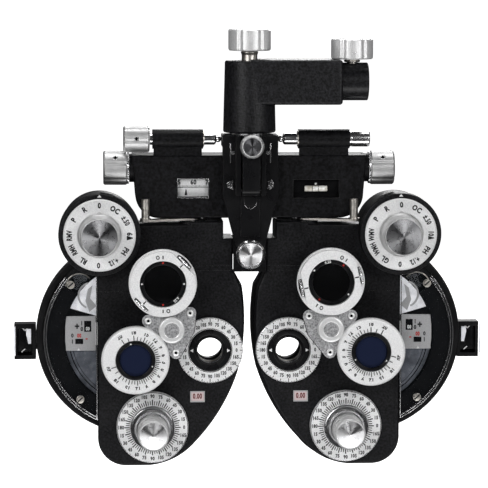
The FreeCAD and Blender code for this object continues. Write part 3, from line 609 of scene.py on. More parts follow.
M["arm"] = arm_finish()
NODE_FINISH = {
    "mount_arm": "arm", "swivel_spindle": "steel", "yoke_plate": "satin", "rod_holder_block": "satin",
    "crossbar_housing": "bar", "pd_lead_screw": "steel",
}
HALF_FINISH = {
    "front_housing": "wrinkle", "back_cover": "plastic", "clear_cover": "acrylic",
    "strong_lens_disc": "inner", "convergence_lever": "nickel", "weak_lenses": "lens",
    "carriage": "steel", "turret_plate": "blasted", "jcc_frame": "scale", "corneal_aligner": "plastic",
    "scale_plates": "scale", "prism_frame": "scale",
}
for side in SIDES:
    NODE_FINISH.update({f"{side}_{node}": finish for node, finish in HALF_FINISH.items()})
for node, finish in NODE_FINISH.items():
    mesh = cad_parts[node].data
    mesh.materials.clear()
    mesh.materials.append(M[finish])


# ---------------------------------------------------------------- arm, yoke and crossbar
ARM_Z = 204.3
SWIVEL_Y = 5.0
PD_FLANGE_X = 91.3
LEVEL_SHAFT_R = 4.4
PLUNGER_HEAD_R = 6.0
BALL_R = 2.5
YOKE_FACE_Y = -10.0
SLAB_FACE_Y = -11.3
PD_WINDOW = (-42.9, 123.8, 23.0, 13.9)         # x, z, width, height
VIAL_WINDOW = (50.6, 123.1, 34.6, 13.6)


def arm_knobs():
    for node, body, grip_z, start, stem_r, collar_r in (
            ("arm_clamp_knob", "arm_clamp", 221.2, ARM_Z + 14.65, 4.0, 5.6),
            ("swivel_lock_knob", "swivel_lock", 227.6, 224.6, 6.0, 6.0)):
        low, high = span(node)
        x, radius = (low.x + high.x) / 2, (high.x - low.x) / 2
        grip = lobed_grip(upright(x, SWIVEL_Y, grip_z) @ turn(-90), radius, high.z - grip_z)
        piece(f"{node}_grip", "bright", body, grip, node=node)
        piece(f"{node}_stem", "nickel", body, lathe(upright(x, SWIVEL_Y, 0), [
            (0, low.z), (stem_r, low.z), (stem_r, start), (collar_r, start, 0.3), (collar_r + 0.6, grip_z - 1.6, 0.2),
            (collar_r + 0.6, grip_z - 0.8, 0.2), (collar_r, grip_z - 0.5), (collar_r, grip_z + 0.5),
            (0, grip_z + 0.5)], 48))
    hole = facing(centre_of("arm_clamp_knob").x, 225.6, SWIVEL_Y)
    set_screw("arm_clamp_set_screw", hole @ upright(0, 0, 15.85), 1.5, "arm_clamp")


def side_knobs():
    """Levelling knob and pupil-distance knobs, with their set screws and flanges."""
    for name, node, body, sign, length, tilt in (
            ("leveling_knob_grip", "leveling_knob", "level_knob", -1, 19.9, 85),
            ("left_pd_knob", "pd_knobs", "pd_drive", -1, 18.4, 50),
            ("right_pd_knob", "pd_knobs", "pd_drive", 1, 18.4, 50)):
        low, high = span(node)
        _, y, z = centre_of(node)
        radius = (high.z - low.z) / 2
        end = low.x if sign < 0 else high.x
        place = pointing(end - sign * length, y, z, sign) @ turn(sign * (90 - tilt))
        piece(name, "knob", body, lobed_grip(place, radius, length), node=node)
        if body == "pd_drive":
            flange = [(4.0, 0), (12.2, 0, 0.2), (12.2, 1.6, 0.2), (4.0, 1.6)]
            piece(f"{name}_flange", "chrome", body,
                  lathe(pointing(sign * PD_FLANGE_X, y, z, sign), flange, loop=True, teeth=(12.1, 0.5)))
        hole = upright(end - sign * length * 0.5, y, z) @ Matrix.Rotation(math.radians(tilt), 4, "X")
        set_screw(f"{name}_screw", hole @ upright(0, 0, radius + 0.02), 2.0, body)


def shafts():
    """Levelling screw and plunger: ground shafts with chamfered ends and ball tips."""
    for node, body, sign in (("leveling_screw", "level_screw", -1), ("level_plunger", "plunger", 1)):
        low, high = span(node)
        _, y, z = centre_of(node)
        tip, far = (high.x, low.x) if sign < 0 else (low.x, high.x)
        length = abs(far - tip)
        profile = [(0, 0)]
        for k in range(1, 8):
            angle = math.radians(20 * k)
            profile.append((BALL_R * math.sin(angle), BALL_R - BALL_R * math.cos(angle)))
        r, head = LEVEL_SHAFT_R, PLUNGER_HEAD_R
        profile += [(2.0, 4.6), (2.0, 4.0), (r - 1.2, 4.1, 0.2), (r, 5.3, 0.2), (r, 14.2), (r - 0.4, 14.5),
                    (r - 0.4, 15.0), (r, 15.3)]
        if node == "level_plunger":
            profile += [(r, length - 21.0), (head, length - 21.0), (head, length - 14.6), (head - 0.4, length - 14.3),
                        (head - 0.4, length - 13.8), (head, length - 13.5), (head, length - 0.9, 0.3),
                        (head - 0.8, length, 0.2), (head - 1.6, length), (head - 1.8, length - 0.8),
                        (0, length - 0.8)]
        else:
            profile += [(r, length), (0, length)]
        piece(f"{node}_shaft", "chrome", body, lathe(pointing(tip, y, z, sign), profile, 64), node=node)
    sleeve_end = [(4.6, -1.0), (6.2, -1.0), (6.2, 0.5, 0.2), (5.0, 0.9, 0.2), (4.6, 0.5)]
    z = centre_of("leveling_screw").z
    for name, x, sign in (("left_sleeve_ring", -35.2, 1), ("right_sleeve_ring", 37.1, -1)):
        piece(name, "nickel", "crossbar", lathe(pointing(x, SWIVEL_Y, z, sign), sleeve_end, 64, loop=True))


def thumbscrew():
    low, high = span("rod_thumbscrew")
    place = facing(*spot("rod_thumbscrew"), low.y)
    r, back = (high.x - low.x) / 2, low.y - high.y
    rim = [(6.6, -1.0), (6.9, -0.1, 0.2), (7.5, 0, 0.2), (r, -1.5, 0.3), (r, -6.2, 0.3), (r - 1.1, -7.4), (0, -7.4)]
    face = [(6.7, -1.1), (0.9, -1.25), (0.6, -1.6), (0, -1.6)]
    stem = [(0, -7.3), (2, -7.3), (2, back, 0.3), (0, back)]
    piece("rod_thumbscrew_rim", "knob", "thumbscrew", lathe(place, rim, 120, teeth=(r - 0.3, 0.45)),
          node="rod_thumbscrew")
    # The recessed face is darker spun aluminium: painted shade.
    piece("rod_thumbscrew_face", "spun_shaded_recess", "thumbscrew", lathe(place, face))
    piece("rod_thumbscrew_stem", "steel", "thumbscrew", lathe(place, stem, 24))


def yoke_trim():
    """Guide strips, clip screws, spring clip and pin ring on the yoke's face."""
    both = (-1, 1)
    piece("yoke_guide_strips", "chrome", "yoke", *[
        prism(facing(sign * 15, 151, YOKE_FACE_Y), rectangle(-0.5, 0.5, -7.4, 7.4), -0.2, 0.8, 0.2) for sign in both])
    clips = []
    for sign in both:
        clip = facing(sign * 14.6, 127.2, YOKE_FACE_Y)
        clips += [prism(clip @ turn(90 + 90 * sign), arc_band(1.9, 3.0, 50, 310), -0.2, 0.9, 0.2),
                  *screw_head(clip, 1.6, 1.6, 50 * sign),
                  prism(clip @ turn(70 * sign), rounded(1.6, 3.6, -0.7, 0.7, 0.5), 0.2, 1.3, 0.2),
                  prism(clip @ turn(180 - 100 * sign), rounded(1.7, 3.4, -0.6, 0.6, 0.5), 0.2, 1.2, 0.2)]
    piece("yoke_clip_screws", "chrome", "yoke", *clips)
    piece("yoke_small_screws", "steel", "yoke", *[
        solid for sign in both for solid in screw_head(facing(sign * 13.2, 151.4, YOKE_FACE_Y), 1.5, 1.0, 40 * sign)])
    leaf = rounded(-2.6, 2.6, -0.5, 0.5, 0.45)
    piece("yoke_spring_clip", "chrome", "yoke",
          *[prism(facing(0, 121.6, SLAB_FACE_Y) @ turn(angle), leaf, -0.3, 0.6, 0.15) for angle in (40, -40)],
          prism(facing(0, 119.6, SLAB_FACE_Y), [(-1.9, -0.4), (1.9, -0.4), (0, 1.4)], -0.3, 0.7, 0.1))
    piece("pivot_pin_ring", "chrome", "yoke",
          prism(facing(0, 113.8, SLAB_FACE_Y), arc_band(4.45, 4.85, 150, 390, 36), -0.3, 0.35, 0.1))


def frame_ring(place, width, height, border, low, high):
    """Flat rectangular frame with an open middle, as four bars."""
    u, v = width / 2, height / 2
    for box in ((-u - border, u + border, v, v + border), (-u - border, u + border, -v - border, -v),
                (-u - border, -u, -v, v), (u, u + border, -v, v)):
        yield prism(place, rectangle(*box), low, high, 0.1)


def pd_window():
    """Window over the pupil-distance scale, which rides on the left carriage; its pointer is on the right."""
    x, z, width, height = PD_WINDOW
    place = facing(x, z)
    piece("pd_window_frame", "chrome", "crossbar", *frame_ring(place, width, height, 0.55, -0.6, 0.25))
    u, v = width / 2 - 0.05, height / 2 - 0.05
    piece("pd_window_glass", "acrylic", "crossbar", prism(place, rectangle(-u, u, -v, v), -1.2, -0.5))
    marks = Marks(x, z, 3.75)
    for text, u in (("60", 0.4), ("5", -10.4), ("7", 10.6)):
        marks.word(text, u, 4.1, 3.6)
    for k in range(-10, 11):
        marks.shape(rectangle(k - 0.16, k + 0.16, 0.8, 1.8 if k % 5 else 2.1))
    piece("pd_scale_marks", "black_ink", "left_carriage", marks.bm)
    marks = Marks(x, z, 3.75)
    marks.shape([(-6.3, -5.6), (-4.2, -5.6), (-5.0, -0.9), (-5.4, -0.9)])
    piece("pd_pointer_mark", "black_ink", "right_carriage", marks.bm)
    for name, low, high, body in (("pd_scale_strip", 0.55, 6.55, "left_carriage"),
                                  ("pd_pointer_strip", -6.55, 0.1, "right_carriage")):
        piece(name, "scale", body, prism(facing(x, z, 3.84), rectangle(-13.2, 13.2, low, high), -0.1, 0.06, 0.05))


def spirit_level():
    """The vial in its dark recess."""
    x, z, width, height = VIAL_WINDOW
    place = facing(x, z)
    piece("vial_window_frame", "plastic", "crossbar", *frame_ring(place, width, height, 0.45, -0.5, 0.2))
    u, v = width / 2 - 0.05, height / 2 - 0.05
    piece("vial_backing", "window", "crossbar", prism(place, rectangle(-u, u, -v, v), -4.8, -4.5))
    low, high = span("level_vial")
    length, r = high.x - low.x, (high.z - low.z) / 2
    _, y, z = centre_of("level_vial")
    tube = [(0, 0), (r - 0.2, 0, 0.8), (r, 1.2), (r, length - 1.2), (r - 0.2, length, 0.8), (0, length)]
    piece("level_vial_tube", "vial", "crossbar", lathe(pointing(low.x, y, z, 1), tube, 48), node="level_vial")
    bubble = rounded(-2.2, 2.2, -0.75, 0.75, 0.7)
    piece("level_vial_bubble", "white_ink", "crossbar",
          prism(facing(x - 0.2, z + 0.7, y - r + 0.15), bubble, -0.1, 0.12, 0.05), slot="vial_glass")
    line = [(r + 0.02, 0), (r + 0.1, 0), (r + 0.1, 0.45), (r + 0.02, 0.45)]
    piece("level_vial_lines", "black_ink", "crossbar", *[
        lathe(pointing(x + offset - 0.2, y, z, 1), line, 32, loop=True) for offset in (-2.9, 1.7)])
    piece("level_vial_mark", "white_ink", "crossbar",
          lathe(facing(x, z + 3.5, 4.5), [(0, 0), (0.85, 0), (0.85, 0.3, 0.2), (0, 0.5)], 24))


PAD_ARC_R = 62.0
PAD_HALF_WIDTH, PAD_HALF_HEIGHT, PAD_THICK = 31.5, 7.6, 4.2
PAD_ROWS, PAD_SIDES = 56, 24
PAD_SQUARENESS = 0.55


def pad_solid(z):
    """Soft arc that follows the forehead, with rounded ends."""
    bm = bmesh.new()
    rings = []
    for i in range(PAD_ROWS + 1):
        t = -1 + 2 * i / PAD_ROWS
        a = math.asin(PAD_HALF_WIDTH * t / PAD_ARC_R)
        cx, cy = PAD_ARC_R * math.sin(a), 115 - 60 * math.cos(a)
        fat = (1 - abs(t) ** 6) ** 0.5
        row = []
        for k in range(PAD_SIDES):
            c, s = math.cos(TAU * k / PAD_SIDES), math.sin(TAU * k / PAD_SIDES)
            dn = math.copysign(abs(c) ** PAD_SQUARENESS, c) * PAD_THICK / 2 * (0.35 + 0.65 * fat)
            dz = math.copysign(abs(s) ** PAD_SQUARENESS, s) * PAD_HALF_HEIGHT * (0.3 + 0.7 * fat)
            dn *= 1 + 0.12 * math.cos(math.pi * dz / PAD_HALF_HEIGHT)
            row.append(bm.verts.new((cx + math.sin(a) * dn, cy - math.cos(a) * dn, z + dz)))
        rings.append(row)
    skin(bm, rings)
    bm.faces.new(rings[0])
    bm.faces.new(rings[-1][::-1])
    return bm


def forehead():
    """Forehead knob, and the pad on its rod."""
    low, high = span("forehead_knob")
    x, z = spot("forehead_knob")
    front = facing(x, z, low.y)
    r = (high.x - low.x) / 2
    body = [(8.6, -0.45), (8.8, 0.1, 0.1), (9.5, 0.1, 0.2), (9.8, -0.5), (r, -1.9, 0.8), (r, -6.2, 0.5),
            (r - 1.0, -7.8, 0.3), (3.1, -7.8), (3.1, -2), (0, -2)]
    piece("forehead_knob_turned", "chrome", "forehead_wheel", lathe(front, body), node="forehead_knob")
    piece("forehead_knob_face", "spun_y", "forehead_wheel",
          lathe(front, [(8.7, -0.5), (4, 0.35), (0.3, 1.0), (0, 1.05)]), slot="nickel")
    place = facing(x, z)
    piece("forehead_rod", "steel", "forehead_rest",
          lathe(place, [(0, 8.5), (2.6, 8.5), (3, 8.1), (3, -56), (0, -56)], 32),
          lathe(place, [(0, -50.5), (6.5, -50.5, 1), (6.5, -53), (0, -53)], 48), node="forehead_pad")
    pad = piece("forehead_pad_cushion", "rubber", "forehead_rest", pad_solid(z), node="forehead_pad", sharp=60)


# ---------------------------------------------------------------- one half
DIAL_WORDS = {90: "0", 59: "OC", 29.5: "±.50", -32: "PH", -62: "+.12", -92: "0"}
DIAL_WORDS_LEFT = {-1.5: "6Δ", -122.5: "RL", -151.5: "RMH", 180: "RMV", 148.5: "P", 120: "R"}
DIAL_WORDS_RIGHT = {-1.5: "10Δ", -122.5: "GL", -151.5: "WMH", 180: "WMV", 148.5: "P", 120: "R"}
WHEEL = (86.0, 10.4)                           # x, z of the weak-sphere wheel's axis on the right half
WHEEL_R = 76.5
CELLS = 12
WINDOW_X = 116.2 - WHEEL[0]                    # straight edge of the clear window, from the wheel's axis
POWER_WINDOW = (39.5, -36.0)
HUB = (60.0, 19.3)                             # the turret's post


class Half:
    """One half of the instrument: pieces, bodies and nodes are named without their side."""

    def __init__(self, side):
        self.side = side
        self.sign = SIDES[side]
        self.left = side == "left"

    def spot(self, node):
        return spot(f"{self.side}_{node}")

    def span(self, node):
        return span(f"{self.side}_{node}")

    def piece(self, name, finish, body, *solids, node=None, slot=None):
        node = f"{self.side}_{node}" if node else None
        piece(f"{self.side}_{name}", finish, f"{self.side}_{body}", *solids, node=node, slot=slot)

    def sided(self, points):
        """Right-hand outline as it is on this half, still running anticlockwise."""
        return points if self.sign > 0 else [(-u, v) for u, v in points][::-1]


def aux_dial(half):
    low, high = half.span("aux_dial")
    x, z = half.spot("aux_dial")
    back = low.y - high.y
    plate = [(4.65, 0), (26.3, 0, 0.2), (27.3, -0.8, 0.2), (27.3, -2.4), (4.65, -2.4)]
    bush = [(4.65, -2.3), (7, -2.3), (7, back), (4.65, back)]
    step = [(16.6, -0.1), (16.9, 0.15), (17.2, 0.15), (17.5, -0.1)]
    rim = [(25.9, -0.1), (26.05, 0.12), (26.25, 0.12), (26.4, -0.2)]
    half.piece("aux_dial_plate", "scale", "dial", *[
        lathe(facing(x, z, low.y), profile, segments, loop=True)
        for profile, segments in ((plate, 144), (bush, 48), (step, 120), (rim, 144))], node="aux_dial")
    marks = Marks(x, z, low.y)
    for degrees, text in {**DIAL_WORDS, **(DIAL_WORDS_LEFT if half.left else DIAL_WORDS_RIGHT)}.items():
        marks.around(text, 22.4, degrees, 4.0, 0.68 if len(text) > 2 else 0.86)
    half.piece("aux_dial_marks", "black_ink", "dial", marks.bm)
    marks = Marks(x, z, -15.0)
    marks.triangle(90, 28.5, 30.6, 1.6)
    half.piece("dial_ring_mark", "white_ink", "half", marks.bm)


def strong_knob(half):
    place, front = facing(*half.spot("strong_sphere_knob")), -half.span("strong_sphere_knob")[0].y
    profile = [(13.3, front - 0.45), (13.7, front, 0.15), (14.2, front - 0.1, 0.2), (14.5, front - 1.2)]
    for k in range(3):
        h = front - 3.2 - 2.4 * k
        profile += [(14.5, h), (14.1, h - 0.3), (14.1, h - 0.8), (14.5, h - 1.1)]
    profile += [(14.5, 24, 0.5), (15.2, 20.4, 0.8), (16.6, 19.2, 0.3), (16.6, 18.7), (4.6, 18.7), (4.6, -29), (0, -29)]
    pointer = [(-2.3, 16.2), (2.3, 16.2), (1.0, 17.6), (0, 18.1), (-1.0, 17.6)]
    half.piece("strong_knob_body", "knob", "strong_knob", lathe(place, profile, 128),
               prism(place, pointer, 18.6, 19.6, 0.2), node="strong_sphere_knob")
    face = [(13.4, front - 0.6), (6, front + 0.7), (0.4, front + 1.7), (0, front + 1.75)]
    # The cap's darker spun aluminium is painted shade.
    half.piece("strong_knob_face", "spun_cap_shaded", "strong_knob", lathe(place, face, 128))


def protractor(marks, numeral_r, minor, major, thick, width):
    """A full circle of axis marks: 0 to 180 over the top half and again below."""
    for k in range(72):
        degrees = 5 * k
        if degrees % 15 == 0:
            marks.tick(degrees, *major, thick * 1.35)
        else:
            marks.tick(degrees, *minor, thick)
    for degrees in range(0, 360, 15):
        value = degrees if degrees <= 180 else degrees - 180
        marks.word(str(value), *polar(0, 0, numeral_r, degrees), 2.7, 0, width)


def cylinder_dials(half):
    """Axis disc with its two coaxial knobs."""
    x, z = half.spot("cylinder_axis_knob")
    place, disc_y = facing(x, z), -4.0
    marks = Marks(x, z, disc_y)
    protractor(marks, 24.1, (17.4, 20.4), (17.2, 21.5), 0.62, 0.8)
    half.piece("cylinder_disc_marks", "black_ink", "half", marks.bm)
    rim = [(26.5, 0.02), (26.7, 0.16), (27.0, 0.12), (27.2, -0.3)]
    half.piece("cylinder_disc_rim", "chrome", "half", lathe(facing(x, z, disc_y), rim, 144, loop=True))
    profile = [(4.6, 15.6), (11.6, 15.6, 0.1), (12.6, 14.6, 0.5), (12.6, 12.6, 1.0), (13.4, 10.2, 1.2),
               (15.4, 8.3, 1.0), (16.3, 7.8, 0.3), (17, 7.2, 0.2), (17, 4.6), (6, 4.6), (6, -6.5), (4.6, -6.5)]
    half.piece("axis_knob_body", "spun_y", "axis_knob", lathe(place, profile, 144, loop=True),
               node="cylinder_axis_knob")
    marks = Marks(x, z, -7.9)
    for degrees in (0, 180):
        marks.triangle(degrees, 15.1, 16.9, 1.0)
    half.piece("axis_knob_pointers", "black_ink", "axis_knob", marks.bm)
    front = -half.span("cylinder_power_knob")[0].y
    profile = [(10.3, front - 0.35), (10.6, front, 0.15), (11.8, front - 1.2, 0.4)]
    for y in (35.0, 26.0):
        profile += [(11.8, y + 0.7), (11.2, y + 0.5), (11.2, y - 0.5), (11.8, y - 0.7)]
    profile += [(11.8, 16.4), (4.55, 16), (4.55, -6.8), (0, -6.8)]
    half.piece("power_knob_body", "bright", "power_knob", lathe(place, profile, 128), node="cylinder_power_knob")
    face = [(10.6, front - 0.5), (5, front + 0.55), (0.3, front + 1.4), (0, front + 1.45)]
    half.piece("power_knob_face", "spun_y", "power_knob", lathe(place, face, 128))
    # Black bands in the two grooves and in the gap behind the knob: painted shade.
    half.piece("power_knob_groove_shade", "window", "power_knob", *[
        lathe(place, [(11.05, y + 0.48), (11.4, y + 0.48), (11.4, y - 0.48), (11.05, y - 0.48)], 128, loop=True)
        for y in (35.0, 26.0, 16.9)])


def aperture(half):
    """Protractor ring round the sight aperture, its geared pointer ring, and the rear cup."""
    x, z = half.spot("axis_pointer_ring")
    place = facing(x, z)
    marks = Marks(x, z, -3.0)
    protractor(marks, 20.2, (24.0, 24.4), (22.9, 24.5), 0.42, 0.78)
    for degrees in (90, 270):
        marks.tick(degrees, 21.9, 24.9, 0.55)
    half.piece("aperture_marks", "black_ink", "half", marks.bm)
    profile = [(9.75, 3.3, 0.3), (10.6, 3.3, 0.2), (11.0, 2.6, 0.2), (11.8, 2.6, 0.2), (12.2, 3.5, 0.2),
               (15.3, 3.8, 0.3), (16, 3.2, 0.2), (16, 0.2), (12, 0.2), (12, -POINTER_BACK_Y),
               (9.75, -POINTER_BACK_Y, 0.3)]
    half.piece("pointer_ring", "satin", "axis_pointer", lathe(place, profile, 128, loop=True),
               node="axis_pointer_ring")
    marks = Marks(x, z, -3.72)
    for degrees in (0, 180):
        marks.triangle(degrees, 12.9, 15.3, 1.35)
    half.piece("pointer_arrows", "white_ink", "axis_pointer", marks.bm)
    half.piece("protractor_rims", "chrome", "half",
               lathe(place, [(16.35, 3.0), (16.5, 3.15), (16.9, 3.15), (17.05, 3.0)], 128, loop=True),
               lathe(place, [(24.55, 3.0), (24.7, 3.12), (24.9, 3.0), (25.0, 2.7)], 144, loop=True))
    half.piece("pointer_ring_steps", "steel", "axis_pointer", *[
        lathe(place, [(9.66, h + 0.16), (9.84, h + 0.16), (9.84, h - 0.16), (9.66, h - 0.16)], loop=True)
        for h in (1.9, -0.6, -3.2)], slot="satin_black")
    y = -38.0
    cup = [(11, y, 0.3), (22, y, 0.6), (22, y - 2, 0.6), (18.6, y - 3, 0.8), (19.5, y - 8.2, 0.8), (18.6, y - 9, 0.5),
           (17.4, y - 8.6, 0.5), (15, y - 2.4, 0.8), (11, y - 2, 0.3)]
    half.piece("rear_cup", "rubber", "half", lathe(place, cup, loop=True), node="face_shield")


def wheel(half):
    """Weak-sphere wheel: knurled rim, web with twelve lens cells."""
    x, z = half.spot("weak_sphere_wheel")
    place = facing(x, z)
    r = WHEEL_R
    rim = [(71.4, -9.2, 0.3), (r - 0.9, -9, 0.4), (r, -9.9, 0.2), (r, -13.4), (75.7, -14.0), (75.7, -14.8),
           (r, -15.4), (r, -19.2, 0.2), (r - 0.9, -20, 0.4), (71.4, -20)]
    half.piece("wheel_knurl", "plastic", "weak_wheel", lathe(place, rim, 1120, loop=True, teeth=(76.2, 0.34)),
               slot="inner_black")
    eye_x, eye_z = half.spot("axis_pointer_ring")
    start = math.degrees(math.atan2(eye_z - z, eye_x - x))
    ring_r = math.dist((x, z), (eye_x, eye_z))
    half.piece("wheel_web", "inner", "weak_wheel", web(place, start, ring_r),
               lathe(place, [(4.05, -9.3, 0.1), (10, -9.3, 0.4), (10, -20, 0.4), (4.05, -20)], 72, loop=True),
               lathe(place, [(71.3, -11.0), (72.2, -10.6), (72.2, -14.4), (71.3, -14.0)], 360, loop=True),
               node="weak_sphere_wheel")
    cell = [(9.88, -10.6, 0.1), (10.7, -10.6, 0.15), (10.7, -11.05), (9.88, -11.05)]
    half.piece("wheel_cell_rings", "nickel", "weak_wheel", *[
        lathe(facing(*polar(x, z, ring_r, start + 360 / CELLS * k)), cell, 48, loop=True) for k in range(CELLS)])


def web(place, start, ring_r):
    """A disc with round cells cut through, made of one sector to a cell."""
    bm = bmesh.new()
    hole_r, inner, outer, count = 9.9, 4.05, 71.6, 36
    for cell in range(CELLS):
        mid = start + 360 / CELLS * cell
        turns = [mid + 360 * j / count for j in range(count)]
        hole = [polar(*polar(0, 0, ring_r, mid), hole_r, degrees) for degrees in turns]
        rim = [sector_hit(mid, inner, outer, ring_r, math.radians(degrees)) for degrees in turns]
        walls = []
        for level in (-11.0, -14.0):
            a, b = [[bm.verts.new(place @ Vector((u, v, level))) for u, v in loop] for loop in (hole, rim)]
            walls.append(a)
            for j in range(count):
                n = (j + 1) % count
                bm.faces.new((a[j], a[n], b[n], b[j]))
        top, bottom = walls
        for j in range(count):
            n = (j + 1) % count
            bm.faces.new((top[j], top[n], bottom[n], bottom[j]))
    bmesh.ops.remove_doubles(bm, verts=bm.verts, dist=0.02)
    return bm


def sector_hit(mid, inner, outer, ring_r, direction):
    """Where a ray from a cell's centre leaves its sector of the web."""
    ox, oy = polar(0, 0, ring_r, mid)
    dx, dy = math.cos(direction), math.sin(direction)
    along = ox * dx + oy * dy
    hits = []
    for radius, root_sign in ((outer, 1), (inner, -1)):
        disc = along * along - (ring_r ** 2 - radius ** 2)
        if disc > 0:
            hits.append(-along + root_sign * math.sqrt(disc))
    for edge in (mid - 180 / CELLS, mid + 180 / CELLS):
        ex, ey = polar(0, 0, 1, edge)
        det = dx * ey - dy * ex
        if abs(det) > 1e-9:
            hits.append((oy * ex - ox * ey) / det)
    best = min(t for t in hits if t > 0)
    return ox + dx * best, oy + dy * best


def readout(half):
    """Light sphere-power plate behind the clear crescent, and the cylinder power window."""
    s = half.sign
    plate_x, plate_z, plate_y = 128.3 * s, 12.7, 3.0
    outline = [(-11.2, -13.2), (0.2, -13.2), (1.6, -11.2), (3.0, -13.2), (11.0, -13.2), (11.8, -5), (11.8, 5),
               (11.0, 13.2), (-11.2, 13.2)]
    half.piece("readout_face", "grey_plate", "half",
               prism(facing(plate_x, plate_z, plate_y + 0.4), half.sided(outline), -0.05, 0.3, 0.12))
    plate = facing(plate_x, plate_z, plate_y + 0.06)
    boxes = (-8.0, -2.6, 1.4, 9.8), (-1.8, 4.2, -8.0, -4.0)
    half.piece("readout_windows", "window", "half", *[
        prism(plate, half.sided(rectangle(*box)), -0.05, 0.1) for box in boxes])
    black, white, red = [Marks(plate_x, plate_z, plate_y + lift) for lift in (0.06, -0.04, 0.06)]
    for text, u, v, height in (("+", 2.8, 5.3, 5.2), ("1", -0.8, 7.8, 3.2), ("0", -0.8, 3.4, 3.2),
                               ("0", 6.4, -1.6, 3.0), ("1", 6.4, -6.2, 3.0)):
        black.word(text, u * s, v, height)
    white.word("00", -5.3 * s, 3.6, 2.8, 0, 0.72)
    red.word("00", 1.2 * s, -1.7, 3.0, 0, 0.72)
    red.word("-", -4.4 * s, -3.7, 4.0)
    half.piece("readout_marks", "black_ink", "half", black.bm)
    half.piece("readout_digits", "white_ink", "half", white.bm)
    half.piece("readout_red_digits", "red_ink", "half", red.bm)
    wx, wz = POWER_WINDOW[0] * s, POWER_WINDOW[1]
    place = facing(wx, wz)
    half.piece("power_window_frame", "grey_plate", "half", *frame_ring(place, 9.6, 7.0, 0.75, -0.5, 0.45))
    half.piece("power_drum", "drum", "half", prism(place, rectangle(-5.5, 5.5, -4.1, 4.1), -2.2, -0.7))
    marks = Marks(wx, wz, 0.7)
    marks.word("0.00", 0, 0, 4.1, 0, 0.66)
    half.piece("power_digits", "maroon_ink", "half", marks.bm)


def window_panes(half):
    """What shows through the clear crescent: a pale pane above, dark glass below, lens-cell edges."""
    x, z = WHEEL[0] * half.sign, WHEEL[1]
    pane_r = 54.6
    limit = math.degrees(math.acos(WINDOW_X / pane_r))

    def pane(y, points, low, high, bevel=0.0):
        return prism(facing(x, z, y), half.sided(points), low, high, bevel)

    half.piece("window_floor", "window", "half",
               pane(7.2, arc(pane_r + 1.5, -limit - 0.5, limit + 0.5, 60), -0.2, 0.4))
    # The pale pane glows faintly: painted light.
    half.piece("window_light_pane", "pane_light", "half",
               pane(6.6, arc(pane_r, 23, limit, 30) + [(WINDOW_X, 15.4)], -0.1, 0.3, 0.1))
    half.piece("window_slate_pane", "pane_slate", "half",
               pane(6.6, arc(pane_r, -limit, -2.5, 30) + [(WINDOW_X, -2.4)], -0.1, 0.3, 0.1))
    cell = [(max(u + 34.0, WINDOW_X), v + 31.0) for u, v in arc_band(9.2, 10.6, -66, 75, 36)]
    hook = [(0, 23), (5.5, 18.5), (8.5, 27), (6.5, 36), (3.0, 39), (5.0, 29)]
    half.piece("window_cell_edge", "grey_plate", "half", pane(6.1, cell, -0.2, 0.2),
               pane(6.1, [(WINDOW_X + u, v) for u, v in hook], -0.2, 0.1))
    bands = [arc_band(radius - thick, radius, -math.degrees(math.acos(WINDOW_X / radius)), -4, 40)
             for radius, thick in ((52.0, 0.7), (49.6, 0.35))]
    half.piece("window_arcs", "window", "half", *[
        pane(6.2, band, -0.15, 0.1) for band in bands + [arc_band(30.6, 31.2, -12, -3, 10)]])


def cover_details(half):
    """Bright edge lines and screws of the clear window."""
    s = half.sign
    x, z = WHEEL[0] * s, WHEEL[1]
    points = [polar(x, z, 64.0, angle if s > 0 else 180 - angle) for angle in (39, -48)]
    screws = [solid for point in points for solid in screw_head(facing(*point, -1.0), 3.0, 1.9, 40)]
    for px, pz in ((26.0, 90.0), (106.0, -74.0), (45.0, -62.0)):
        back = upright(px * s, 38.0, pz) @ Matrix.Rotation(math.radians(-90), 4, "X")
        screws += screw_head(back, 3.0, 1.8, 25)
    half.piece("screws", "nickel", "half", *screws, node="housing_screws")
    # Black ink along each screw slot and in a crescent beside it: painted shade.
    slot_shades = [Marks(*point, -2.93, 40) for point in points]
    for slot in slot_shades:
        slot.shape(rounded(-2.5, 2.5, -0.5, 0.5, 0.3))
        slot.shape(arc_band(2.15, 2.5, 60, 190, 12))
    half.piece("screw_slot_shades", "black_ink", "half", *[slot.bm for slot in slot_shades])
    inner, outer, top = 55.5, 68.2, 36
    low_in, low_out = [math.degrees(math.acos((WINDOW_X - 0.3) / radius)) for radius in (inner, outer)]
    mask = arc(outer, -low_out, top, 60) + arc(inner, top, -low_in, 60)
    half.piece("window_mask", "window", "half", prism(facing(x, z, 2.2), half.sided(mask), -0.4, 0.5))
    lines = []
    for radius in (68.5, 70.2):
        limit = math.degrees(math.acos((WINDOW_X - 0.4) / radius))
        lines.append(prism(facing(x, z, -1.0), half.sided(arc_band(radius - 0.4, radius + 0.4, -limit, 40.5, 72)),
                           -0.1, 0.35, 0.1))
    low_z = z - math.sqrt(70.2 ** 2 - WINDOW_X ** 2)
    lines.append(prism(facing(x + WINDOW_X * s, 0, -1.0), rectangle(-0.35, 0.35, low_z, 57), -0.1, 0.35, 0.1))
    half.piece("window_edge_lines", "chrome", "half", *lines)


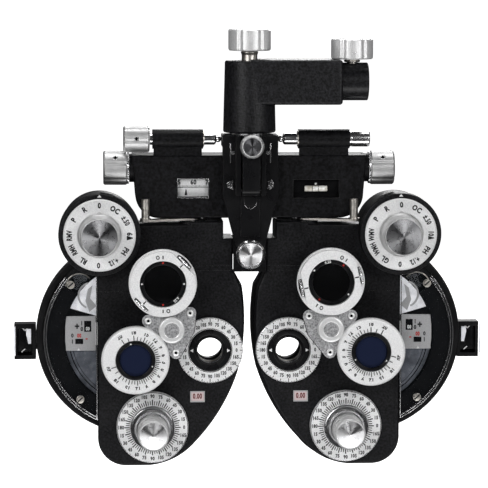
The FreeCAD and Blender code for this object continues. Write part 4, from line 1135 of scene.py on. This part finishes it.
def cross_cylinder(half):
    """Flip lens in its cell with two thumb discs, and its marks."""
    x, z = half.spot("jcc_frame")
    place = facing(x, z)
    angle = 45.0 if half.left else 12.0
    glass_r, cell_r, y = 14.1, 17.2, 27.5
    cell = [(glass_r, y - 1.6, 0.3), (cell_r, y - 1.6, 0.3), (cell_r, y + 1.6, 0.4), (glass_r + 0.5, y + 1.6, 0.3),
            (glass_r, y + 0.7, 0.3)]
    half.piece("flip_cell", "satin", "jcc_flip", lathe(place, cell, 128, loop=True), node="jcc_lens",
               slot="inner_black")
    half.piece("flip_glass", "jcc_glass", "jcc_flip", lathe(place, [
        (0, y + 0.9), (7, y + 0.75), (glass_r, y + 0.3), (glass_r, y - 0.3), (7, y - 0.75), (0, y - 0.9)]))
    discs = []
    for sign in (-1, 1):
        axis = place @ turn(angle) @ upright(0, 0, y) @ Matrix.Rotation(math.radians(90 * sign), 4, "Y")
        disc = [(0, 22.3), (5.9, 22.3, 0.2), (6.2, 22.6, 0.1), (6.2, 23.3, 0.1), (5.9, 23.6, 0.2), (0, 23.6)]
        discs += [lathe(axis, [(0, 16), (1.25, 16), (1.25, 22.4), (1.25, 22.4)], 24),
                  lathe(axis, disc, 120, teeth=(6.1, 0.25))]
    half.piece("flip_thumb_discs", "chrome", "jcc_flip", *discs)
    white, red = Marks(x, z, -y - 1.6), Marks(x, z, -y - 1.6)
    for marks, angles in ((white, (0, 180) if half.left else (145, -35)), (red, (90, 270) if half.left else (55, 235))):
        for degrees in angles:
            marks.dot(*polar(0, 0, 15.8, degrees), 0.75)
    white.around("±.25", 15.6, -50 if half.left else 100, 2.1, 0.85)
    half.piece("flip_white_marks", "white_ink", "jcc_flip", white.bm)
    half.piece("flip_red_marks", "red_ink", "jcc_flip", red.bm)
    marks = Marks(x, z, -31.5)
    for degrees in (angle, angle + 180):
        marks.tick(degrees, 17.9, 21.0, 0.95)
    for degrees in (angle + 45, angle + 225):
        marks.tick(degrees, 19.0, 21.6, 0.9)
        marks.around("O", 20.3, degrees + 11, 3.0)
    half.piece("jcc_frame_marks", "black_ink", "jcc", marks.bm)


PRISM_SCALE = {0: 0, 3: 15, 6: 30, 9: 47.5, 12: 65.5, 15: 87, 18: 113.5, 20: 143}     # value: degrees from 0


def rotary_prism(half):
    """Scale ring, turning cell and dark glass."""
    x, z = half.spot("prism_frame")
    place = facing(x, z)
    rim = [(15.06, 21), (15.06, 26.2, 0.2), (23.9, 27.0, 0.1), (24.2, 26.85), (24.5, 27.0, 0.2), (25.8, 25.9, 0.3),
           (25.8, 21, 0.2)]
    half.piece("prism_scale_ring", "scale", "turret", lathe(place, rim, 288, loop=True, teeth=(25.7, 0.3)),
               node="prism_frame")
    marks = Marks(x, z, -26.75)
    zero = -19.5 if half.left else 205.0
    for value, offset in PRISM_SCALE.items():
        for sign in ((1, -1) if value else (1,)):
            marks.tick(zero + sign * offset, 15.3, 19.0, 0.62)
            marks.around(str(value), 21.4, zero + sign * offset, 3.1)
    values = sorted(PRISM_SCALE)
    for low, high in zip(values, values[1:]):
        for k in range(1, high - low):
            offset = PRISM_SCALE[low] + (PRISM_SCALE[high] - PRISM_SCALE[low]) * k / (high - low)
            for sign in (1, -1):
                marks.tick(zero + sign * offset, 15.3, 18.0, 0.5)
    half.piece("prism_marks", "black_ink", "turret", marks.bm)
    cell = [(12, 18.5), (12, 27.2, 0.3), (12.6, 27.6, 0.2), (14.1, 27.6, 0.3), (15, 26.6, 0.3), (15, 18.5)]
    half.piece("prism_ring", "satin", "prism", lathe(place, cell, 128, loop=True), node="prism_cell")
    half.piece("prism_glass", "prism_glass", "prism", lathe(place, [(0, 20), (12, 20), (12, 25, 0.2), (0, 25)]))
    marks = Marks(x, z, -27.6)
    marks.dot(*polar(0, 0, 13.4, zero), 0.6)
    marks.triangle(zero + 125, 12.7, 13.9, 0.9)
    half.piece("prism_ring_marks", "white_ink", "prism", marks.bm)


def turret(half):
    """Hub and face plate of the turret, with its three screws."""
    x, z = HUB[0] * half.sign, HUB[1]
    place = facing(x, z)
    boss = [(9.75, 21), (9.75, 30.0, 0.3), (9.3, 30.5, 0.3), (8.0, 30.75, 0.4), (6.0, 30.7, 0.4), (4.95, 29.8, 0.3),
            (4.8, 29.2), (4.8, 21)]
    half.piece("turret_hub", "bright", "turret", lathe(place, boss, loop=True))
    half.piece("turret_hub_floor", "blasted", "turret",
               lathe(place, [(0, 29.2), (4.85, 29.2), (4.85, 28), (0, 28)], 48))
    jcc_angle = 100.5 if half.left else 90.0
    corners = [polar(x, z, 18.5, jcc_angle + offset) for offset in (-60, 60, 180)]
    nose = polar(x, z, 15.4, jcc_angle + 106 * half.sign)

    def plate(grow, low, high, bevel):
        """Straight-sided plate round the three screws and its blunt fourth corner."""
        points = [polar(*corner, 4.65 + grow, 20 * k) for corner in corners for k in range(18)]
        points += [polar(*nose, 2.05 + grow, 20 * k) for k in range(18)]
        return prism(facing(0, 0), [points[i] for i in convex_hull_2d(points)], low, high, bevel)

    # A black outline a little wider than the plate, just under it: a painted shadow line round the plate.
    half.piece("turret_edge_shadow", "window", "turret", plate(0.4, 18.7, 20.6, 0), slot="blasted_aluminium")
    half.piece("turret_face", "blasted", "turret", plate(0.0, 19.0, 21.06, 0.15))
    head = [(1.1, 20.9), (2.6, 20.9), (2.6, 21.9, 0.3), (1.1, 22.2, 0.2)]
    half.piece("turret_screws", "bright", "turret", *[
        lathe(facing(*corner), head, 32, loop=True) for corner in corners], slot="nickel")
    # Black discs in the screw heads: painted shade in their sockets.
    socket = [(0, 21.5), (1.15, 21.5), (1.15, 20.9), (0, 20.9)]
    half.piece("turret_screw_socket_shades", "window", "turret", *[lathe(facing(*corner), socket, 6) for corner in corners])


def half_trim(half):
    """Seam lines, and the mirror and scale of the side sight; the scale is partly a painted reflection and glows
    faintly, which is painted light.
    """
    s = half.sign
    half.piece("seams", "satin", "half", *[
        prism(facing(0, 0), rectangle(*sorted((x0 * s, x1 * s)), z - 0.12, z + 0.12), -0.2, 0.08)
        for x0, x1, z in ((13, 41, 64.5), (13, 41, 61.0), (91, 115, 45.0))])
    low, high = half.span("corneal_aligner")
    outer = high.x if s > 0 else low.x
    mid = outer - s * 8.25
    half.piece("sight_mirror", "window", "half",
               prism(facing(mid, 6, 26.0), rectangle(-5.7, 5.7, -10.4, 10.4), -2.0, -1.0, 0.1))
    # The pale tapered strip stands for the scale seen in the mirror, shaped after the bright streak there, so partly a
    # painted reflection; it and the thin bar at the box's outer edge glow faintly: painted light.
    strip = [(-4.6, -3.4), (-2.4, -3.4), (-0.8, 4.4), (-1.2, 8.2), (-4.6, 8.2)]
    bar = rectangle(-0.65, 0.65, -11.0, 11.6)
    half.piece("sight_scale_painted_glow", "pane_light", "half", prism(facing(mid, 5.0, 26.4), half.sided(strip), -0.6, 0.0, 0.1),
               prism(facing(outer - s * 0.6, 5.4, 12.8), bar, -0.3, 0.12, 0.1), slot="scale_aluminium")
    marks = Marks(mid, 12.5, 26.3)
    strokes = [(-5, 2.2), (-2.9, 2.2), (0, -0.4), (2.9, 2.2), (5, 2.2)]
    for a, b in [*zip(strokes, strokes[1:]), ((-2.8, -17.2), (0.0, -14.8))]:
        a, b = Vector(a), Vector(b)
        along = (b - a).normalized()
        n = Vector((-along.y, along.x)) * 0.4
        marks.shape([tuple(a - n), tuple(b - n), tuple(b + n), tuple(a + n)])
    half.piece("sight_mark", "white_ink", "half", marks.bm)


for build in (arm_knobs, side_knobs, shafts, thumbscrew, yoke_trim, pd_window, spirit_level, forehead):
    build()
for side in SIDES:
    for build in (aux_dial, strong_knob, cylinder_dials, aperture, wheel, readout, window_panes, cover_details,
                  cross_cylinder, rotary_prism, turret, half_trim):
        build(Half(side))


# ---------------------------------------------------------------- floor, lights and camera
def studio():
    """A wide pale dish, so that the background is the same from every side."""
    low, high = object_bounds()
    middle = (low + high) / 2
    reach, bend, top = 4.0, 1.5, 5.0
    path = [(0, 0), (1.2, 0), (reach, 0)]
    for k in range(1, 11):
        angle = math.radians(9 * k)
        path.append((reach + bend * math.sin(angle), bend - bend * math.cos(angle)))
    path.append((reach + bend, top))
    bm = lathe(Matrix.Translation((middle.x, middle.y, low.z - 0.12)), path)
    mesh = bpy.data.meshes.new("studio_floor")
    bm.to_mesh(mesh)
    bm.free()
    f = Finish("pale_floor", (0.93, 0.93, 0.93), 0.85)
    f.vary_colour(f.noise(300, 2), 0.3, 0.7, 0.985, 1.01)
    socket_value(f.shader, "Emission Color", (1, 1, 1, 1))
    socket_value(f.shader, "Emission Strength", 1.05)
    mesh.materials.append(f.material)
    mesh.shade_smooth()
    floor = bpy.data.objects.new("studio_floor", mesh)
    bpy.context.scene.collection.objects.link(floor)
    floor.visible_diffuse = False
    floor.visible_glossy = False
    floor.visible_shadow = False
    floor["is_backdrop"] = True


def lamp(name, offset, width, height, power):
    """Softbox aimed at the middle of the instrument, offset from it by so many metres."""
    data = bpy.data.lights.new(name, "AREA")
    data.shape = "RECTANGLE"
    data.size, data.size_y = width, height
    data.energy = power
    made = bpy.data.objects.new(name, data)
    bpy.context.scene.collection.objects.link(made)
    middle = at(0, 0, 60)
    made.location = middle + Vector(offset)
    made.rotation_mode = "QUATERNION"
    made.rotation_quaternion = (middle - (middle + Vector(offset))).to_track_quat("-Z", "Y")
    return made


studio()
lamp("key_left", (-0.74, -1.0, 0.44), 0.72, 0.5, 6.0)
lamp("key_right", (0.76, -1.0, 0.44), 0.7, 0.48, 5.4)
lamp("front_low", (0, -0.85, -0.8), 1.5, 0.42, 6.6)
fill = lamp("fill", (-0.25, -1.5, 0.3), 0.6, 0.4, 1.2)
fill.visible_glossy = False                    # or it shows as a square in the dark glasses
lamp("back", (0.5, 1.9, 1.1), 1.0, 0.8, 24)
lamp("overhead", (0, 0.15, 1.3), 1.0, 0.5, 7)

world = bpy.data.worlds.new("studio")
world.use_nodes = True
world.node_tree.nodes["Background"].inputs["Color"].default_value = (0.5, 0.5, 0.52, 1)
world.node_tree.nodes["Background"].inputs["Strength"].default_value = 0.06
bpy.context.scene.world = world
bpy.context.scene.view_settings.view_transform = "Standard"

camera_data = bpy.data.cameras.new("camera")
camera_data.lens = 189.3
camera_data.sensor_width = 36.0
camera_data.clip_start, camera_data.clip_end = 0.1, 50
camera = bpy.data.objects.new("camera", camera_data)
bpy.context.scene.collection.objects.link(camera)
camera.location = at(-115.76, -1935.38, 291.73)
camera.rotation_mode = "QUATERNION"
aim = (at(-4.16, 0, 81.13) - camera.location).to_track_quat("-Z", "Y")
camera.rotation_quaternion = aim @ Quaternion((0, 0, 1), math.radians(0.12))
bpy.context.scene.camera = camera
